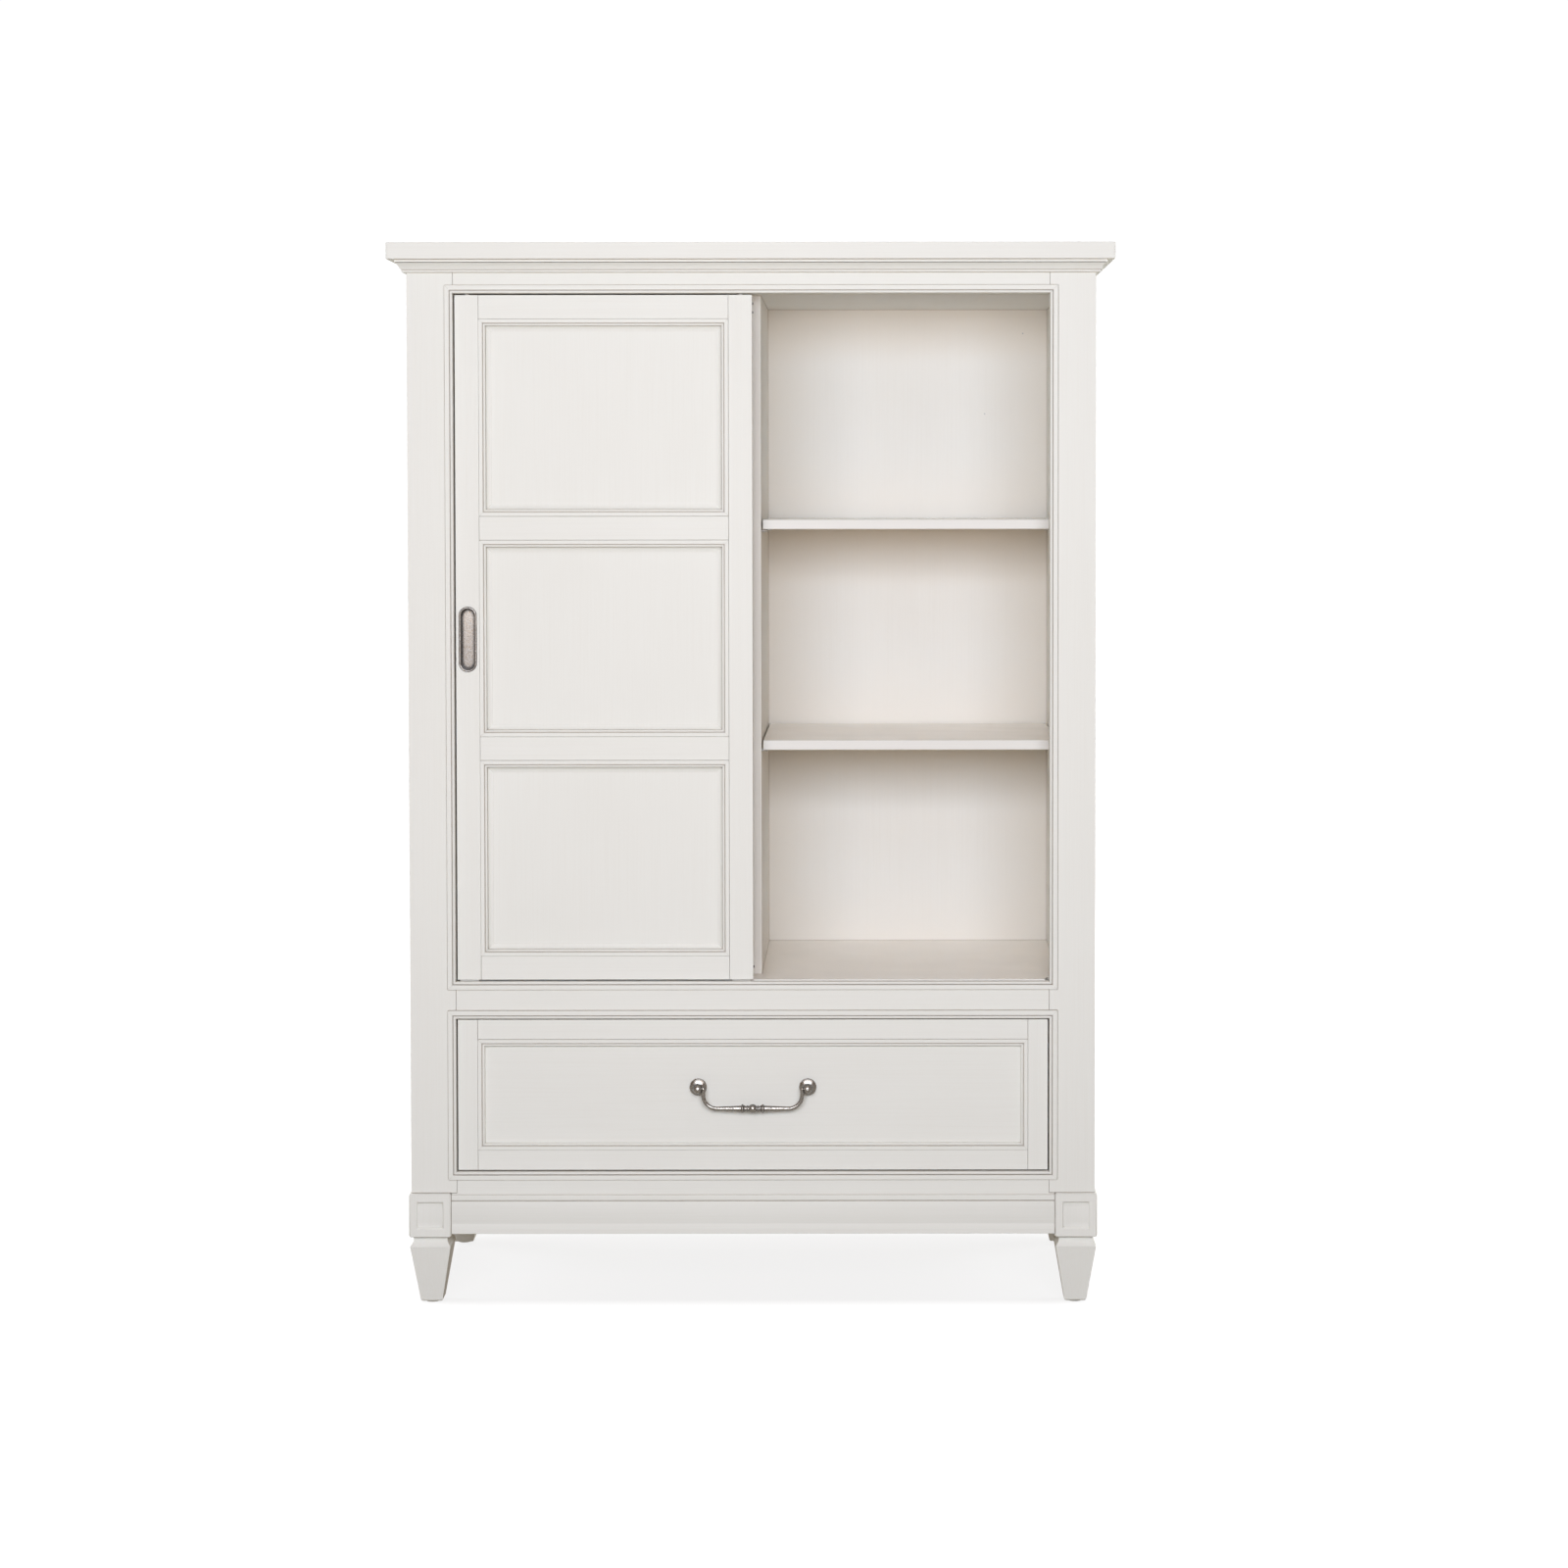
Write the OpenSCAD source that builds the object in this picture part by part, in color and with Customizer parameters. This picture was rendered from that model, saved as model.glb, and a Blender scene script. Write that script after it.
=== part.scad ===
// Painted armoire: two bypass sliding doors over one wide drawer, on spade feet.
// X runs to the right, Y runs to the back and Z runs up. Z = 0 is the floor.
// All lengths are in millimetres.

/* [Overall size] */
// Width over the top panel
width = 1168; // [1080:1:1300]
// Depth over the top panel
depth = 483; // [450:1:560]
// Height from the floor to the top surface
height = 1719; // [1640:1:1850]

/* [Top panel and crown] */
// Thickness of the top panel
top_t = 26.5; // [20:0.5:34]
// How far the top panel stands out past the front frame
top_over_front = 27; // [24:1:36]
// How far the top panel stands out past each side
top_over_side = 29.5; // [24:0.5:38]
// Plan radius of the top panel's front corners
top_corner_r = 4; // [1:0.5:10]
// Radius of the top panel's eased edges
top_edge_r = 1.6; // [1:0.1:8]
// How far the crown's upper fillet stands out
crown_proj = 17.5; // [16:0.5:22]
// Height of the crown's upper fillet
crown_fillet_h = 4.4; // [3:0.2:8]
// Height of the crown's cove
crown_cove_h = 10.4; // [8:0.2:14]
// Width of the crown's cove, seen from below
crown_cove_w = 7.6; // [5:0.2:10]
// Radius of the crown's cove
crown_cove_r = 24; // [14:1:40]
// Height of the small bead under the cove
crown_bead_h = 3.2; // [2:0.2:5]
// Height of the two fine grooves above and below the cove
crown_quirk = 0.9; // [0.5:0.1:1.5]
// Depth of those grooves, measured from the foot of the cove
crown_quirk_d = 2.4; // [1.8:0.1:3]
// How far the cove's lip lies behind the fillet
crown_step = 1.6; // [1:0.1:2.2]
// How far the bead's face lies behind the foot of the cove
crown_bead_back = 1.6; // [1:0.1:2]
// Radius of the bead's lower edge
crown_bead_r = 0.8; // [0.4:0.1:1.4]

/* [Posts and rails] */
// Width of each front stile, seen from the front
post_w = 74; // [68:1:86]
// Thickness of the front frame
frame_t = 22; // [20:0.5:24]
// Thickness of the posts at the sides, across the cabinet
post_thick = 51; // [44:1:60]
// Depth of the front posts, front to back
front_post_d = 70; // [60:1:80]
// Depth of the rear posts, front to back
rear_post_d = 60; // [50:1:70]
// Height of the top rail
top_rail_h = 53.4; // [46:0.2:60]
// Height of the rail between the doors and the drawer
middle_rail_h = 60.3; // [54:0.1:74]
// Height of the bottom rail that shows above the corner blocks
bottom_rail_show = 34.9; // [28:0.1:46]
// Height of the drawer opening
drawer_open_h = 249.5; // [225:0.5:290]
// Hairline that shows where a rail, panel or moulding meets its neighbour
seam = 0.4; // [0.1:0.05:0.5]
// Hairline left at the mitres
mitre_seam = 0.1; // [0.05:0.05:0.3]

/* [Base] */
// Height of the feet
foot_h = 111.2; // [80:0.1:130]
// Side of the square corner blocks
block_w = 69; // [66:0.5:76]
// Height of the corner blocks
block_h = 71.6; // [70:0.2:84]
// How far the blocks stand out past the frame
block_proud = 4; // [3.5:0.5:6]
// Radius of the blocks' corners, seen from the front
block_r = 4.5; // [2:0.5:8]
// Radius of the blocks' eased arrises
block_edge_r = 1.2; // [0.8:0.1:3]
// Border around the sunk panel of a block
block_border = 12.6; // [9:0.1:16]
// Depth of the sunk panel of a block
block_sink = 3.4; // [2:0.2:6]
// Width of the bevel around the sunk panel
block_bevel = 2.4; // [1.5:0.1:5]
// Swell of the sunk panel across its height
block_swell = 1.6; // [0.5:0.1:2.4]
// Side of the foot at its neck
foot_neck = 55; // [50:0.1:60]
// Side of the foot at its shoulder
foot_shoulder = 66; // [62:0.5:69]
// Side of the foot at the floor
foot_toe = 36; // [32:0.5:46]
// Height of the neck under the block
foot_neck_h = 5.2; // [4:0.1:9]
// Height of the flare from neck to shoulder
foot_flare_h = 10.5; // [8:0.5:16]
// Radius of the rounded corners at the foot's toe
foot_toe_r = 4.5; // [2:0.5:8]
// How far below its shoulder the leg begins its straight taper
foot_shoulder_h = 3; // [2:0.5:5]
// How far the leg draws in over that length
foot_shoulder_in = 0.6; // [0.2:0.1:1.2]
// Thickness of the glides under the feet
glide_t = 2.5; // [2:0.5:4]
// Radius of the glides under the feet
glide_r = 12; // [8:0.5:15]
// Height of the bottom edge of the base above the blocks' underside
plinth_lift = 5.6; // [2:0.1:8]
// Height of the base moulding's lower fascia
base_fascia_h = 7.6; // [6:0.2:12]
// Height of the slope above the lower fascia
base_slope_h = 8.9; // [6:0.1:12]
// Height of the base moulding's large round face
base_torus_h = 36.4; // [32:0.2:38]
// Swell of the large round face
base_swell = 1.5; // [1:0.1:2.4]
// Height of the groove over the large round face
base_quirk = 1.7; // [1:0.1:2.4]
// Height of the base moulding's top band
base_band_h = 8.4; // [6:0.2:9]
// How far the base moulding stands out
base_proj = 3.8; // [2.8:0.1:4.4]
// How far the base moulding's fascia lies behind its torus
base_fascia_back = 0.2; // [0.1:0.1:0.6]
// How far the base moulding's band lies behind its torus
base_band_back = 0.6; // [0.2:0.1:1]
// Radius of the band's eased edges
base_band_r = 0.8; // [0.4:0.1:1.2]
// Thickness of the base moulding at the foot of its quirk
base_backing = 0.4; // [0.3:0.1:1]

/* [Cabinet boards] */
// Thickness of the sunk outer side panels
side_panel_t = 10; // [6:0.5:12]
// How far the outer side panels lie behind the posts
side_panel_sink = 9; // [6:0.5:12]
// Thickness of the side rails
side_rail_t = 20; // [18:0.5:24]
// Thickness of the inner side boards
lining_t = 16; // [12:0.5:18]
// Thickness of the back panel
back_t = 5; // [4:0.5:8]
// How far the back panel laps over the rear posts
back_lap = 8; // [5:0.5:14]
// Thickness of the deck under the doors
deck_t = 18; // [16:0.5:22]
// Thickness of the ceiling board
ceiling_t = 16; // [12:0.5:20]
// How far the ceiling lies above the top of the door opening
ceiling_lift = 1.4; // [0.4:0.2:4]
// Thickness of the centre divider
divider_t = 25; // [18:0.5:26]
// Distance of the divider and the shelves behind the front frame
board_setback = 76; // [72:1:90]
// Thickness of the dust panel under the drawer
dust_t = 12; // [9:0.5:15]
// Thickness of the rails across the back
back_rail_t = 20; // [16:0.5:24]
// Height of the upper rail across the back
back_rail_h = 32; // [20:1:34]

/* [Shelves] */
// Thickness of the shelves
shelf_t = 16; // [14:0.5:19]
// Height of the lower shelves' top above the deck
shelf_low = 385; // [330:1:440]
// Height of the upper shelves' top above the deck
shelf_high = 747; // [690:1:800]
// Gap between a shelf and the boards at its ends
shelf_end_gap = 3; // [1:0.5:4]
// Gap between a shelf and the back panel
shelf_back_gap = 4; // [2:0.5:10]
// Radius of the shelf pins
pin_r = 2.5; // [2:0.1:3]
// Length of a shelf pin inside the board
pin_in = 8; // [6:0.5:9]
// Length of a shelf pin under the shelf
pin_out = 9; // [7:0.5:12]
// Distance from a shelf's front edge to its front pins
pin_inset = 37; // [30:1:60]
// Distance of the rear pins in front of the rear posts
pin_rear = 14; // [8:1:40]
// Spacing of the holes for the shelf pins
hole_pitch = 32; // [25:1:40]
// Holes above and below each shelf pin
hole_rows = 2; // [0:1:3]

/* [Door opening trim] */
// Width of the trim around the two openings
bead_band = 13; // [11:0.5:17]
// Radius of the round bead on the trim's inner edge
bead_r = 2.2; // [1.8:0.1:3.4]
// Width of the quirk between the trim's flat band and its bead
band_quirk = 1; // [0.6:0.1:1.6]
// How far the openings' bead stands out past its lip
band_bead_rise = 0.8; // [0.4:0.1:1.2]
// Radius of the eased edges of every moulding's lip
lip_r = 0.6; // [0.3:0.1:0.8]
// Depth of the quirk beside a moulding's bead, from the face of the lip
quirk_depth = 2.8; // [2:0.1:3.2]
// How far the trim's flat band stands out
band_proud = 3.2; // [2:0.2:4.4]
// Depth of the seat of the trim in the front frame
trim_seat = 1.6; // [1:0.2:3]

/* [Sliding doors] */
// Thickness of the doors
door_t = 22; // [18:0.5:24]
// Gap around the doors
door_gap = 2.5; // [2:0.1:4]
// How far the front door reaches past the centre line
door_reach = 0.9; // [0.5:0.1:8]
// Distance of the front door's face behind the front frame
door_recess = 4; // [3.6:0.2:6]
// Free space between the two doors
door_spacing = 8; // [6:0.5:10]
// Gap between the rear door and the side board
rear_side_gap = 3.5; // [2:0.5:8]
// How far the rear door stays short of the centre line
rear_short = 1; // [0.5:0.5:6]
// Width of the door stiles
door_stile_w = 38; // [34:0.5:50]
// Height of the door rails
door_rail_h = 38; // [30:0.5:55]
// Number of panels in a door
door_panels = 3; // [2:1:4]
// Thickness of the door panels
door_panel_t = 7; // [5:0.5:9]
// Depth of the door panels behind the door's face
door_panel_sink = 8; // [7:0.5:10]
// Width of the outer flat of the door moulding
dm_flat = 6.2; // [5:0.1:8]
// Width of the thin bead of the door moulding
dm_bead = 3.8; // [3:0.2:5]
// Width of the quirk beside that bead
dm_quirk = 0.9; // [0.5:0.1:1.4]
// Width of the cove and its inner fillet on the door moulding
dm_cove = 8.4; // [7:0.2:13]
// Depth of the hollow of that cove
dm_cove_d = 3.2; // [2:0.1:4]
// How far the door moulding stands out past the door's face
dm_proud = 1.8; // [0.5:0.1:2]
// How far the door moulding's bead lies behind its lip
dm_bead_drop = 0.8; // [0.4:0.1:1.2]
// Width of the fine step between the door moulding's bead and its cove
dm_step = 0.6; // [0.4:0.1:1]
// Thickness of the door moulding where it runs out on the panel
dm_toe = 0.8; // [0.5:0.1:1.2]

/* [Door running gear] */
// Width of the lip in front of the lower groove
groove_lip = 8; // [6:0.5:10]
// Depth of the lower groove
groove_d = 8; // [6:0.5:12]
// Width of the grooves for the upper guides
top_groove_w = 8; // [6:0.5:10]
// Depth of the grooves for the upper guides
top_groove_d = 12; // [9:0.5:16]
// Depth of the board that holds the rear door's upper groove
top_track_d = 40; // [38:0.5:46]
// Thickness of that board
top_track_t = 24; // [20:0.5:30]
// Side clearance of the guides in their grooves
run_clear = 0.4; // [0.3:0.1:0.8]
// Clearance under the glides
rest_clear = 0.3; // [0.2:0.05:0.4]
// Length of the door glides
door_glide_l = 30; // [20:1:33]
// Depth of the glides inside the door
glide_in = 10; // [6:0.5:14]
// Depth of the upper guides inside the door
guide_in = 18; // [10:0.5:24]
// Thickness of the fin that guides the rear door's bottom
fin_t = 4; // [3:0.2:6]
// Length of that fin along the door
fin_l = 9; // [6:0.5:9]
// Depth of the fin inside the deck
fin_in = 8; // [5:0.5:12]
// Depth of the slot in the rear door's bottom edge
kerf_h = 10; // [8:0.5:14]
// Radius of the bumpers on the front door's edge
bumper_r = 2; // [1.5:0.1:3]
// How far the bumpers stand out
bumper_out = 1.7; // [1:0.1:2.2]

/* [Flush pulls] */
// Height of the flush pulls' centre above the deck
pull_rise = 554.5; // [480:0.5:640]
// Width of a flush pull
flush_w = 29.5; // [24:0.5:31]
// Length of a flush pull
flush_l = 106; // [80:1:130]
// Radius of the flush pull's round rim
flush_rim_r = 2; // [1.5:0.1:2.6]
// Depth of the flush pull's cup
flush_depth = 9.5; // [6:0.5:12]
// Wall of the flush pull's cup
flush_wall = 1.2; // [0.8:0.1:1.6]

/* [Drawer] */
// Distance of the drawer's face behind the front frame
drawer_recess = 3; // [2:0.2:6]
// Gap around the drawer front
drawer_gap = 2.2; // [1.6:0.1:4]
// Thickness of the drawer front's frame
drawer_front_t = 20; // [18:0.5:22]
// Width of the drawer front's stiles and rails
drawer_stile_w = 32; // [26:0.5:42]
// Depth of the drawer panel behind the drawer's face
drawer_panel_sink = 6; // [5:0.5:8]
// Width of the outer flat of the drawer moulding
wm_flat = 6.1; // [4:0.1:9]
// Width of the quirk beside that flat
wm_quirk = 0.9; // [0.5:0.1:1.4]
// Width of the inner bead of the drawer moulding
wm_bead = 4.2; // [3:0.1:5]
// How far the drawer moulding stands out past the drawer's face
wm_proud = 1.2; // [0.5:0.1:2]
// How far the drawer moulding's bead lies behind its lip
wm_bead_drop = 1; // [0.5:0.1:1.4]
// Thickness of the drawer box's front
box_front_t = 16; // [12:0.5:19]
// Thickness of the drawer sides and back
box_side_t = 12; // [10:0.5:15]
// Height of the drawer sides
box_side_h = 190; // [150:1:200]
// Height of the drawer sides above the opening's lower edge
box_lift = 15; // [10:0.5:24]
// Thickness of the drawer's bottom
box_bottom_t = 5; // [4:0.5:8]
// Height of the drawer's bottom above the sides' lower edge
box_bottom_lift = 12; // [8:0.5:16]
// Depth of the grooves that hold the drawer's bottom
box_groove = 6; // [4:0.5:7]
// Free space behind the drawer
drawer_back_gap = 28; // [15:1:60]

/* [Drawer slides] */
// Thickness of a closed slide
slide_t = 12.7; // [12:0.1:14]
// Height of the cabinet member of a slide
slide_h = 45; // [38:0.5:50]
// Sheet thickness of the slide members
slide_sheet = 1.2; // [1:0.1:1.5]
// Running gap between two slide members
slide_gap = 0.4; // [0.3:0.05:0.6]
// Height of the slides' centre above the opening's lower edge
slide_rise = 110; // [60:1:140]
// How far the slides stay short of the drawer's length
slide_short = 12; // [8:1:40]
// Height of the cleats that carry the slides
cleat_h = 60; // [52:1:90]

/* [Bail pull] */
// Distance between the two posts of the pull
pull_c = 178; // [128:1:200]
// Height of the posts above the centre of the drawer front
pull_up = 11.5; // [0:0.5:20]
// Radius of the round plates under the posts
plate_r = 14; // [11.5:0.5:18]
// Thickness of the round plates at their edge
plate_t = 1.6; // [1:0.1:3]
// Height of the plates' domed face
plate_dome = 3.2; // [1:0.1:4]
// Radius of the posts' neck
neck_r = 4.6; // [3.5:0.1:6]
// Radius of the posts' balls
ball_r = 8.5; // [7.5:0.1:9.5]
// Distance of the balls' centre in front of the drawer panel
ball_out = 17; // [15:0.5:17.5]
// Distance of the flat on each ball from the ball's centre
ball_flat = 5; // [4.5:0.1:6.5]
// Radius of the bail's wire
wire_r = 3.2; // [2.6:0.1:3.6]
// Radius of the bail's grip beside its centre
grip_r = 4.7; // [4:0.1:5.2]
// Drop of the bail below its pivots
bail_drop = 32; // [28:0.5:38]
// Centre-line radius of the bail's corners
bail_bend_r = 22; // [12:0.5:24]
// Radius of the bail's hinge pins
hinge_r = 1.95; // [1.6:0.05:2.1]
// Clearance of the hinge pins in the balls
hinge_clear = 0.05; // [0.02:0.01:0.1]
// Length of the hinge pins inside the balls
hinge_in = 6; // [4:0.5:7]
// Radius of the bail's central ball
centre_r = 7.2; // [6:0.1:8]
// Distance of the turned rings from the bail's centre
ring_x = 16.5; // [13:0.5:24]
// Outer radius of the turned rings
ring_r = 7; // [6:0.1:7.6]
// Radius of the screws that hold the pull
screw_r = 2; // [1.5:0.1:2.4]

/* [Hidden] */
// Overlap of the shapes that are joined into one profile
lap = 0.1;

$fn = 48;
paint = "#ebe8e2";
paint_inside = "#ddd6cc";
raw_wood = "#c9ad85";
nickel = "#a39b8e";
steel = "#b9bcbf";
nylon = "#e9e7df";
rubber = "#2b2927";

// Plan positions
front_y = -depth / 2 + top_over_front;
back_y = depth / 2;
back_in_y = back_y - back_t;
case_half = width / 2 - top_over_side;
open_half = case_half - post_w;
inner_half = case_half - post_thick;
front_post_y = front_y + front_post_d;
rear_post_y = back_y - rear_post_d;
board_y = front_y + board_setback;
shelf_back_y = back_in_y - shelf_back_gap;
pin_ys = [board_y + pin_inset, rear_post_y - pin_rear];
block_x = case_half + block_proud - block_w;
block_mid_x = block_x + block_w / 2;
block_front_y = front_y - block_proud;
block_mid_y = block_front_y + block_w / 2;
rear_block_y = back_y - block_w;

// Heights
z_block0 = foot_h;
z_block1 = foot_h + block_h;
z_plinth = z_block0 + plinth_lift;
z_drawer0 = z_block1 + bottom_rail_show;
z_drawer1 = z_drawer0 + drawer_open_h;
z_deck = z_drawer1 + middle_rail_h;
z_case = height - top_t;
z_head = z_case - top_rail_h;
z_ceiling = z_head + ceiling_lift;

// Front door, rear door and the grooves they run in
fd_x0 = -(open_half - door_gap);
fd_x1 = door_reach;
fd_y = front_y + door_recess;
rd_x0 = -(inner_half - rear_side_gap);
rd_x1 = -rear_short;
rd_y = fd_y + door_t + door_spacing;
door_z0 = z_deck + door_gap;
door_z1 = z_head - door_gap;
door_h = door_z1 - door_z0;
panel_h = (door_h - (door_panels + 1) * door_rail_h) / door_panels;
fd_mid_y = fd_y + door_t / 2;
rd_mid_y = rd_y + door_t / 2;
groove_y0 = front_y + groove_lip;
groove_y1 = front_y + frame_t;
groove_mid_y = (groove_y0 + groove_y1) / 2;
groove_w = groove_y1 - groove_y0;
dm_band = dm_flat + dm_quirk + dm_bead + dm_cove;
kerf_w = fin_t + 2 * run_clear;
guide_r = top_groove_w / 2 - run_clear;
pull_z = z_deck + pull_rise;

// Drawer
dr_y = front_y + drawer_recess;
dr_half = open_half - drawer_gap;
dr_z0 = z_drawer0 + drawer_gap;
dr_z1 = z_drawer1 - drawer_gap;
dr_panel_y = dr_y + drawer_panel_sink;
dr_back_y = dr_y + drawer_front_t;
box_half = open_half - slide_t;
box_in = box_half - box_side_t;
box_z0 = z_drawer0 + box_lift;
box_z1 = box_z0 + box_side_h;
box_y1 = back_in_y - drawer_back_gap;
wm_band = wm_flat + wm_quirk + wm_bead;
slide_z = z_drawer0 + slide_rise;
slide_y0 = dr_back_y + box_front_t;
slide_y1 = box_y1 - slide_short;

// Bail pull
pull_z_dr = (dr_z0 + dr_z1) / 2 + pull_up;
pivot_y = dr_panel_y - ball_out;
eye_r = wire_r + 0.3;
arm_x = pull_c / 2 - ball_flat - run_clear - eye_r;

// Points along an arc from angle a0 to angle a1
function arc(cx, cy, r, a0, a1, n) =
    [for (i = [0:n]) [cx + r * cos(a0 + (a1 - a0) * i / n), cy + r * sin(a0 + (a1 - a0) * i / n)]];

// Box given by its limits along X, Y and Z
module slab(x, y, z) {
    translate([x[0], y[0], z[0]])
        cube([x[1] - x[0], y[1] - y[0], z[1] - z[0]]);
}

// The children and their mirror image on the left side
module both_sides() {
    children();
    mirror([1, 0, 0])
        children();
}

// Extrudes a profile drawn as (y, z) along X, from x0 to x1
module along_x(x0, x1) {
    translate([x0, 0, 0])
        rotate([90, 0, 90])
            linear_extrude(x1 - x0)
                children();
}

// Extrudes a profile drawn as (x, z) along Y, from y0 to y1
module along_y(y0, y1) {
    translate([0, y1, 0])
        rotate([90, 0, 0])
            linear_extrude(y1 - y0)
                children();
}

// Rectangle with round corners, centred
module soft_rect(w, h, r) {
    square([w - 2 * r, h], center = true);
    square([w, h - 2 * r], center = true);
    for (x = [-1, 1], y = [-1, 1])
        translate([x * (w / 2 - r), y * (h / 2 - r)])
            circle(r);
}

// Upright slot shape with round ends, centred
module stadium(w, h) {
    square([w, h - w], center = true);
    for (y = [-1, 1])
        translate([0, y * (h - w) / 2])
            circle(w / 2);
}

// One straight length of a moulding ring, mitred at both ends.
// The outer edge lies along X at Z = 0, and the profile (y, z) runs inwards along +Z.
module mitred_bar(len, band, reach) {
    intersection() {
        along_x(-len / 2, len / 2)
            children();
        along_y(-reach, reach)
            polygon([[mitre_seam - len / 2, 0], [len / 2 - mitre_seam, 0],
                     [len / 2 - band - mitre_seam, band], [mitre_seam + band - len / 2, band]]);
    }
}

// Four mitred lengths around an opening, w by h over their outer edges
module moulding_ring(w, h, band, reach) {
    for (m = [0, 1])
        mirror([0, 0, m])
            translate([0, 0, -h / 2])
                mitred_bar(w, band, reach)
                    children();
    for (m = [0, 1])
        mirror([m, 0, 0])
            translate([w / 2, 0, 0])
                rotate([0, -90, 0])
                    mitred_bar(h, band, reach)
                        children();
}

// Flat lip with eased edges, a quirk and a round bead, drawn as (y, z).
// The lip stands out by proud, the bead's crown lies drop behind it, and s is the back.
module lip_and_bead(proud, flat, quirk, bead, drop, s) {
    bead_y = bead / 2 + drop - proud;
    bead_z = flat + quirk;
    translate([lip_r - proud, 0])
        square([s + proud - lip_r, flat]);
    translate([-proud, lip_r])
        square([2 * lip_r, flat - 2 * lip_r]);
    for (z = [lip_r, flat - lip_r])
        translate([lip_r - proud, z])
            circle(lip_r);
    translate([quirk_depth - proud, 0])
        square([s + proud - quirk_depth, bead_z + bead]);
    translate([bead_y, bead_z + bead / 2])
        circle(bead / 2);
    translate([bead_y, bead_z])
        square([s - bead_y, bead]);
}

// Trim around the openings, let into its seat in the front frame
module opening_trim_profile() {
    bead = 2 * bead_r;
    flat = bead_band - band_quirk - bead;
    lip_and_bead(band_proud, flat, band_quirk, bead, -band_bead_rise, trim_seat);
}

// Door moulding: lip, quirk, bead, a fine step and a shallow cove down to the panel
module door_moulding_profile() {
    s = door_panel_sink;
    cove_z = dm_flat + dm_quirk + dm_bead;
    cove_y = s - dm_toe - dm_cove_d;
    cove_w = dm_cove - dm_step - dm_toe;
    cove_r = (pow(cove_w, 2) + pow(dm_cove_d, 2)) / (2 * dm_cove_d);
    lip_and_bead(dm_proud, dm_flat, dm_quirk, dm_bead, dm_bead_drop, s);
    translate([cove_y + 2 * dm_step, cove_z])
        square([s - cove_y - 2 * dm_step, dm_step + lap]);
    difference() {
        translate([cove_y, cove_z + dm_step])
            square([s - cove_y, dm_cove - dm_step]);
        translate([s - dm_toe - cove_r, dm_band - dm_toe])
            circle(cove_r);
    }
}

// Drawer moulding: lip, quirk and a bead that falls straight to the panel
module drawer_moulding_profile() {
    lip_and_bead(wm_proud, wm_flat, wm_quirk, wm_bead, wm_bead_drop, drawer_panel_sink);
}

// Crown profile as (outwards, height below the top panel): fillet, shallow cove and bead
module crown_profile() {
    x1 = crown_proj - crown_step;
    x0 = x1 - crown_cove_w;
    z1 = -crown_fillet_h - crown_quirk;
    z0 = z1 - crown_cove_h;
    chord = norm([crown_cove_w, crown_cove_h]);
    rise = sqrt(pow(crown_cove_r, 2) - pow(chord / 2, 2));
    bead_z = z0 - crown_quirk;
    bead_x = x0 - crown_bead_back;
    e = crown_bead_r;
    translate([0, -crown_fillet_h])
        square([crown_proj, crown_fillet_h]);
    translate([0, bead_z - crown_bead_h / 2])
        square([x0 - crown_quirk_d, crown_bead_h / 2 + 2 * crown_quirk + crown_cove_h + lap]);
    difference() {
        translate([0, z0])
            square([x1, crown_cove_h]);
        translate([(x0 + x1) / 2 + rise * crown_cove_h / chord,
                   (z0 + z1) / 2 - rise * crown_cove_w / chord])
            circle(crown_cove_r);
    }
    translate([0, bead_z - crown_bead_h + e])
        square([bead_x, crown_bead_h - e]);
    translate([0, bead_z - crown_bead_h])
        square([bead_x - e, crown_bead_h]);
    translate([bead_x - e, bead_z - crown_bead_h + e])
        circle(e);
}

// Base profile as (outwards, height above the plinth's lower edge):
// fascia, slope, a large swelling face, a deep groove and a top band
module base_profile() {
    e = base_band_r;
    torus_z0 = base_fascia_h + base_slope_h;
    torus_mid = torus_z0 + base_torus_h / 2;
    band_z0 = torus_z0 + base_torus_h + base_quirk;
    band_x = base_proj - base_band_back;
    fascia_x = base_proj - base_fascia_back;
    bulge_r = (pow(base_torus_h / 2, 2) + pow(base_swell, 2)) / (2 * base_swell);
    polygon([[0, 0], [fascia_x, 0], [fascia_x, base_fascia_h],
             [base_proj - base_swell, torus_z0], [0, torus_z0]]);
    intersection() {
        translate([0, torus_z0])
            square([base_proj + lap, base_torus_h]);
        translate([base_proj - bulge_r, torus_mid])
            circle(bulge_r, $fn = 240);
    }
    translate([0, torus_z0])
        square([base_backing, band_z0 + base_band_h - torus_z0]);
    translate([0, band_z0])
        square([band_x - e, base_band_h]);
    translate([0, band_z0 + e])
        square([band_x, base_band_h - 2 * e]);
    for (z = [band_z0 + e, band_z0 + base_band_h - e])
        translate([band_x - e, z])
            circle(e);
}

// Top panel with eased edges on its front and sides
module top_panel() {
    color(paint)
        intersection() {
            along_x(-width / 2, width / 2)
                translate([0, height - top_t / 2])
                    soft_rect(depth, top_t, top_edge_r);
            along_y(-depth / 2, depth / 2)
                translate([0, height - top_t / 2])
                    soft_rect(width, top_t, top_edge_r);
            translate([0, 0, z_case])
                linear_extrude(top_t)
                    soft_rect(width, depth, top_corner_r);
        }
}

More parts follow.
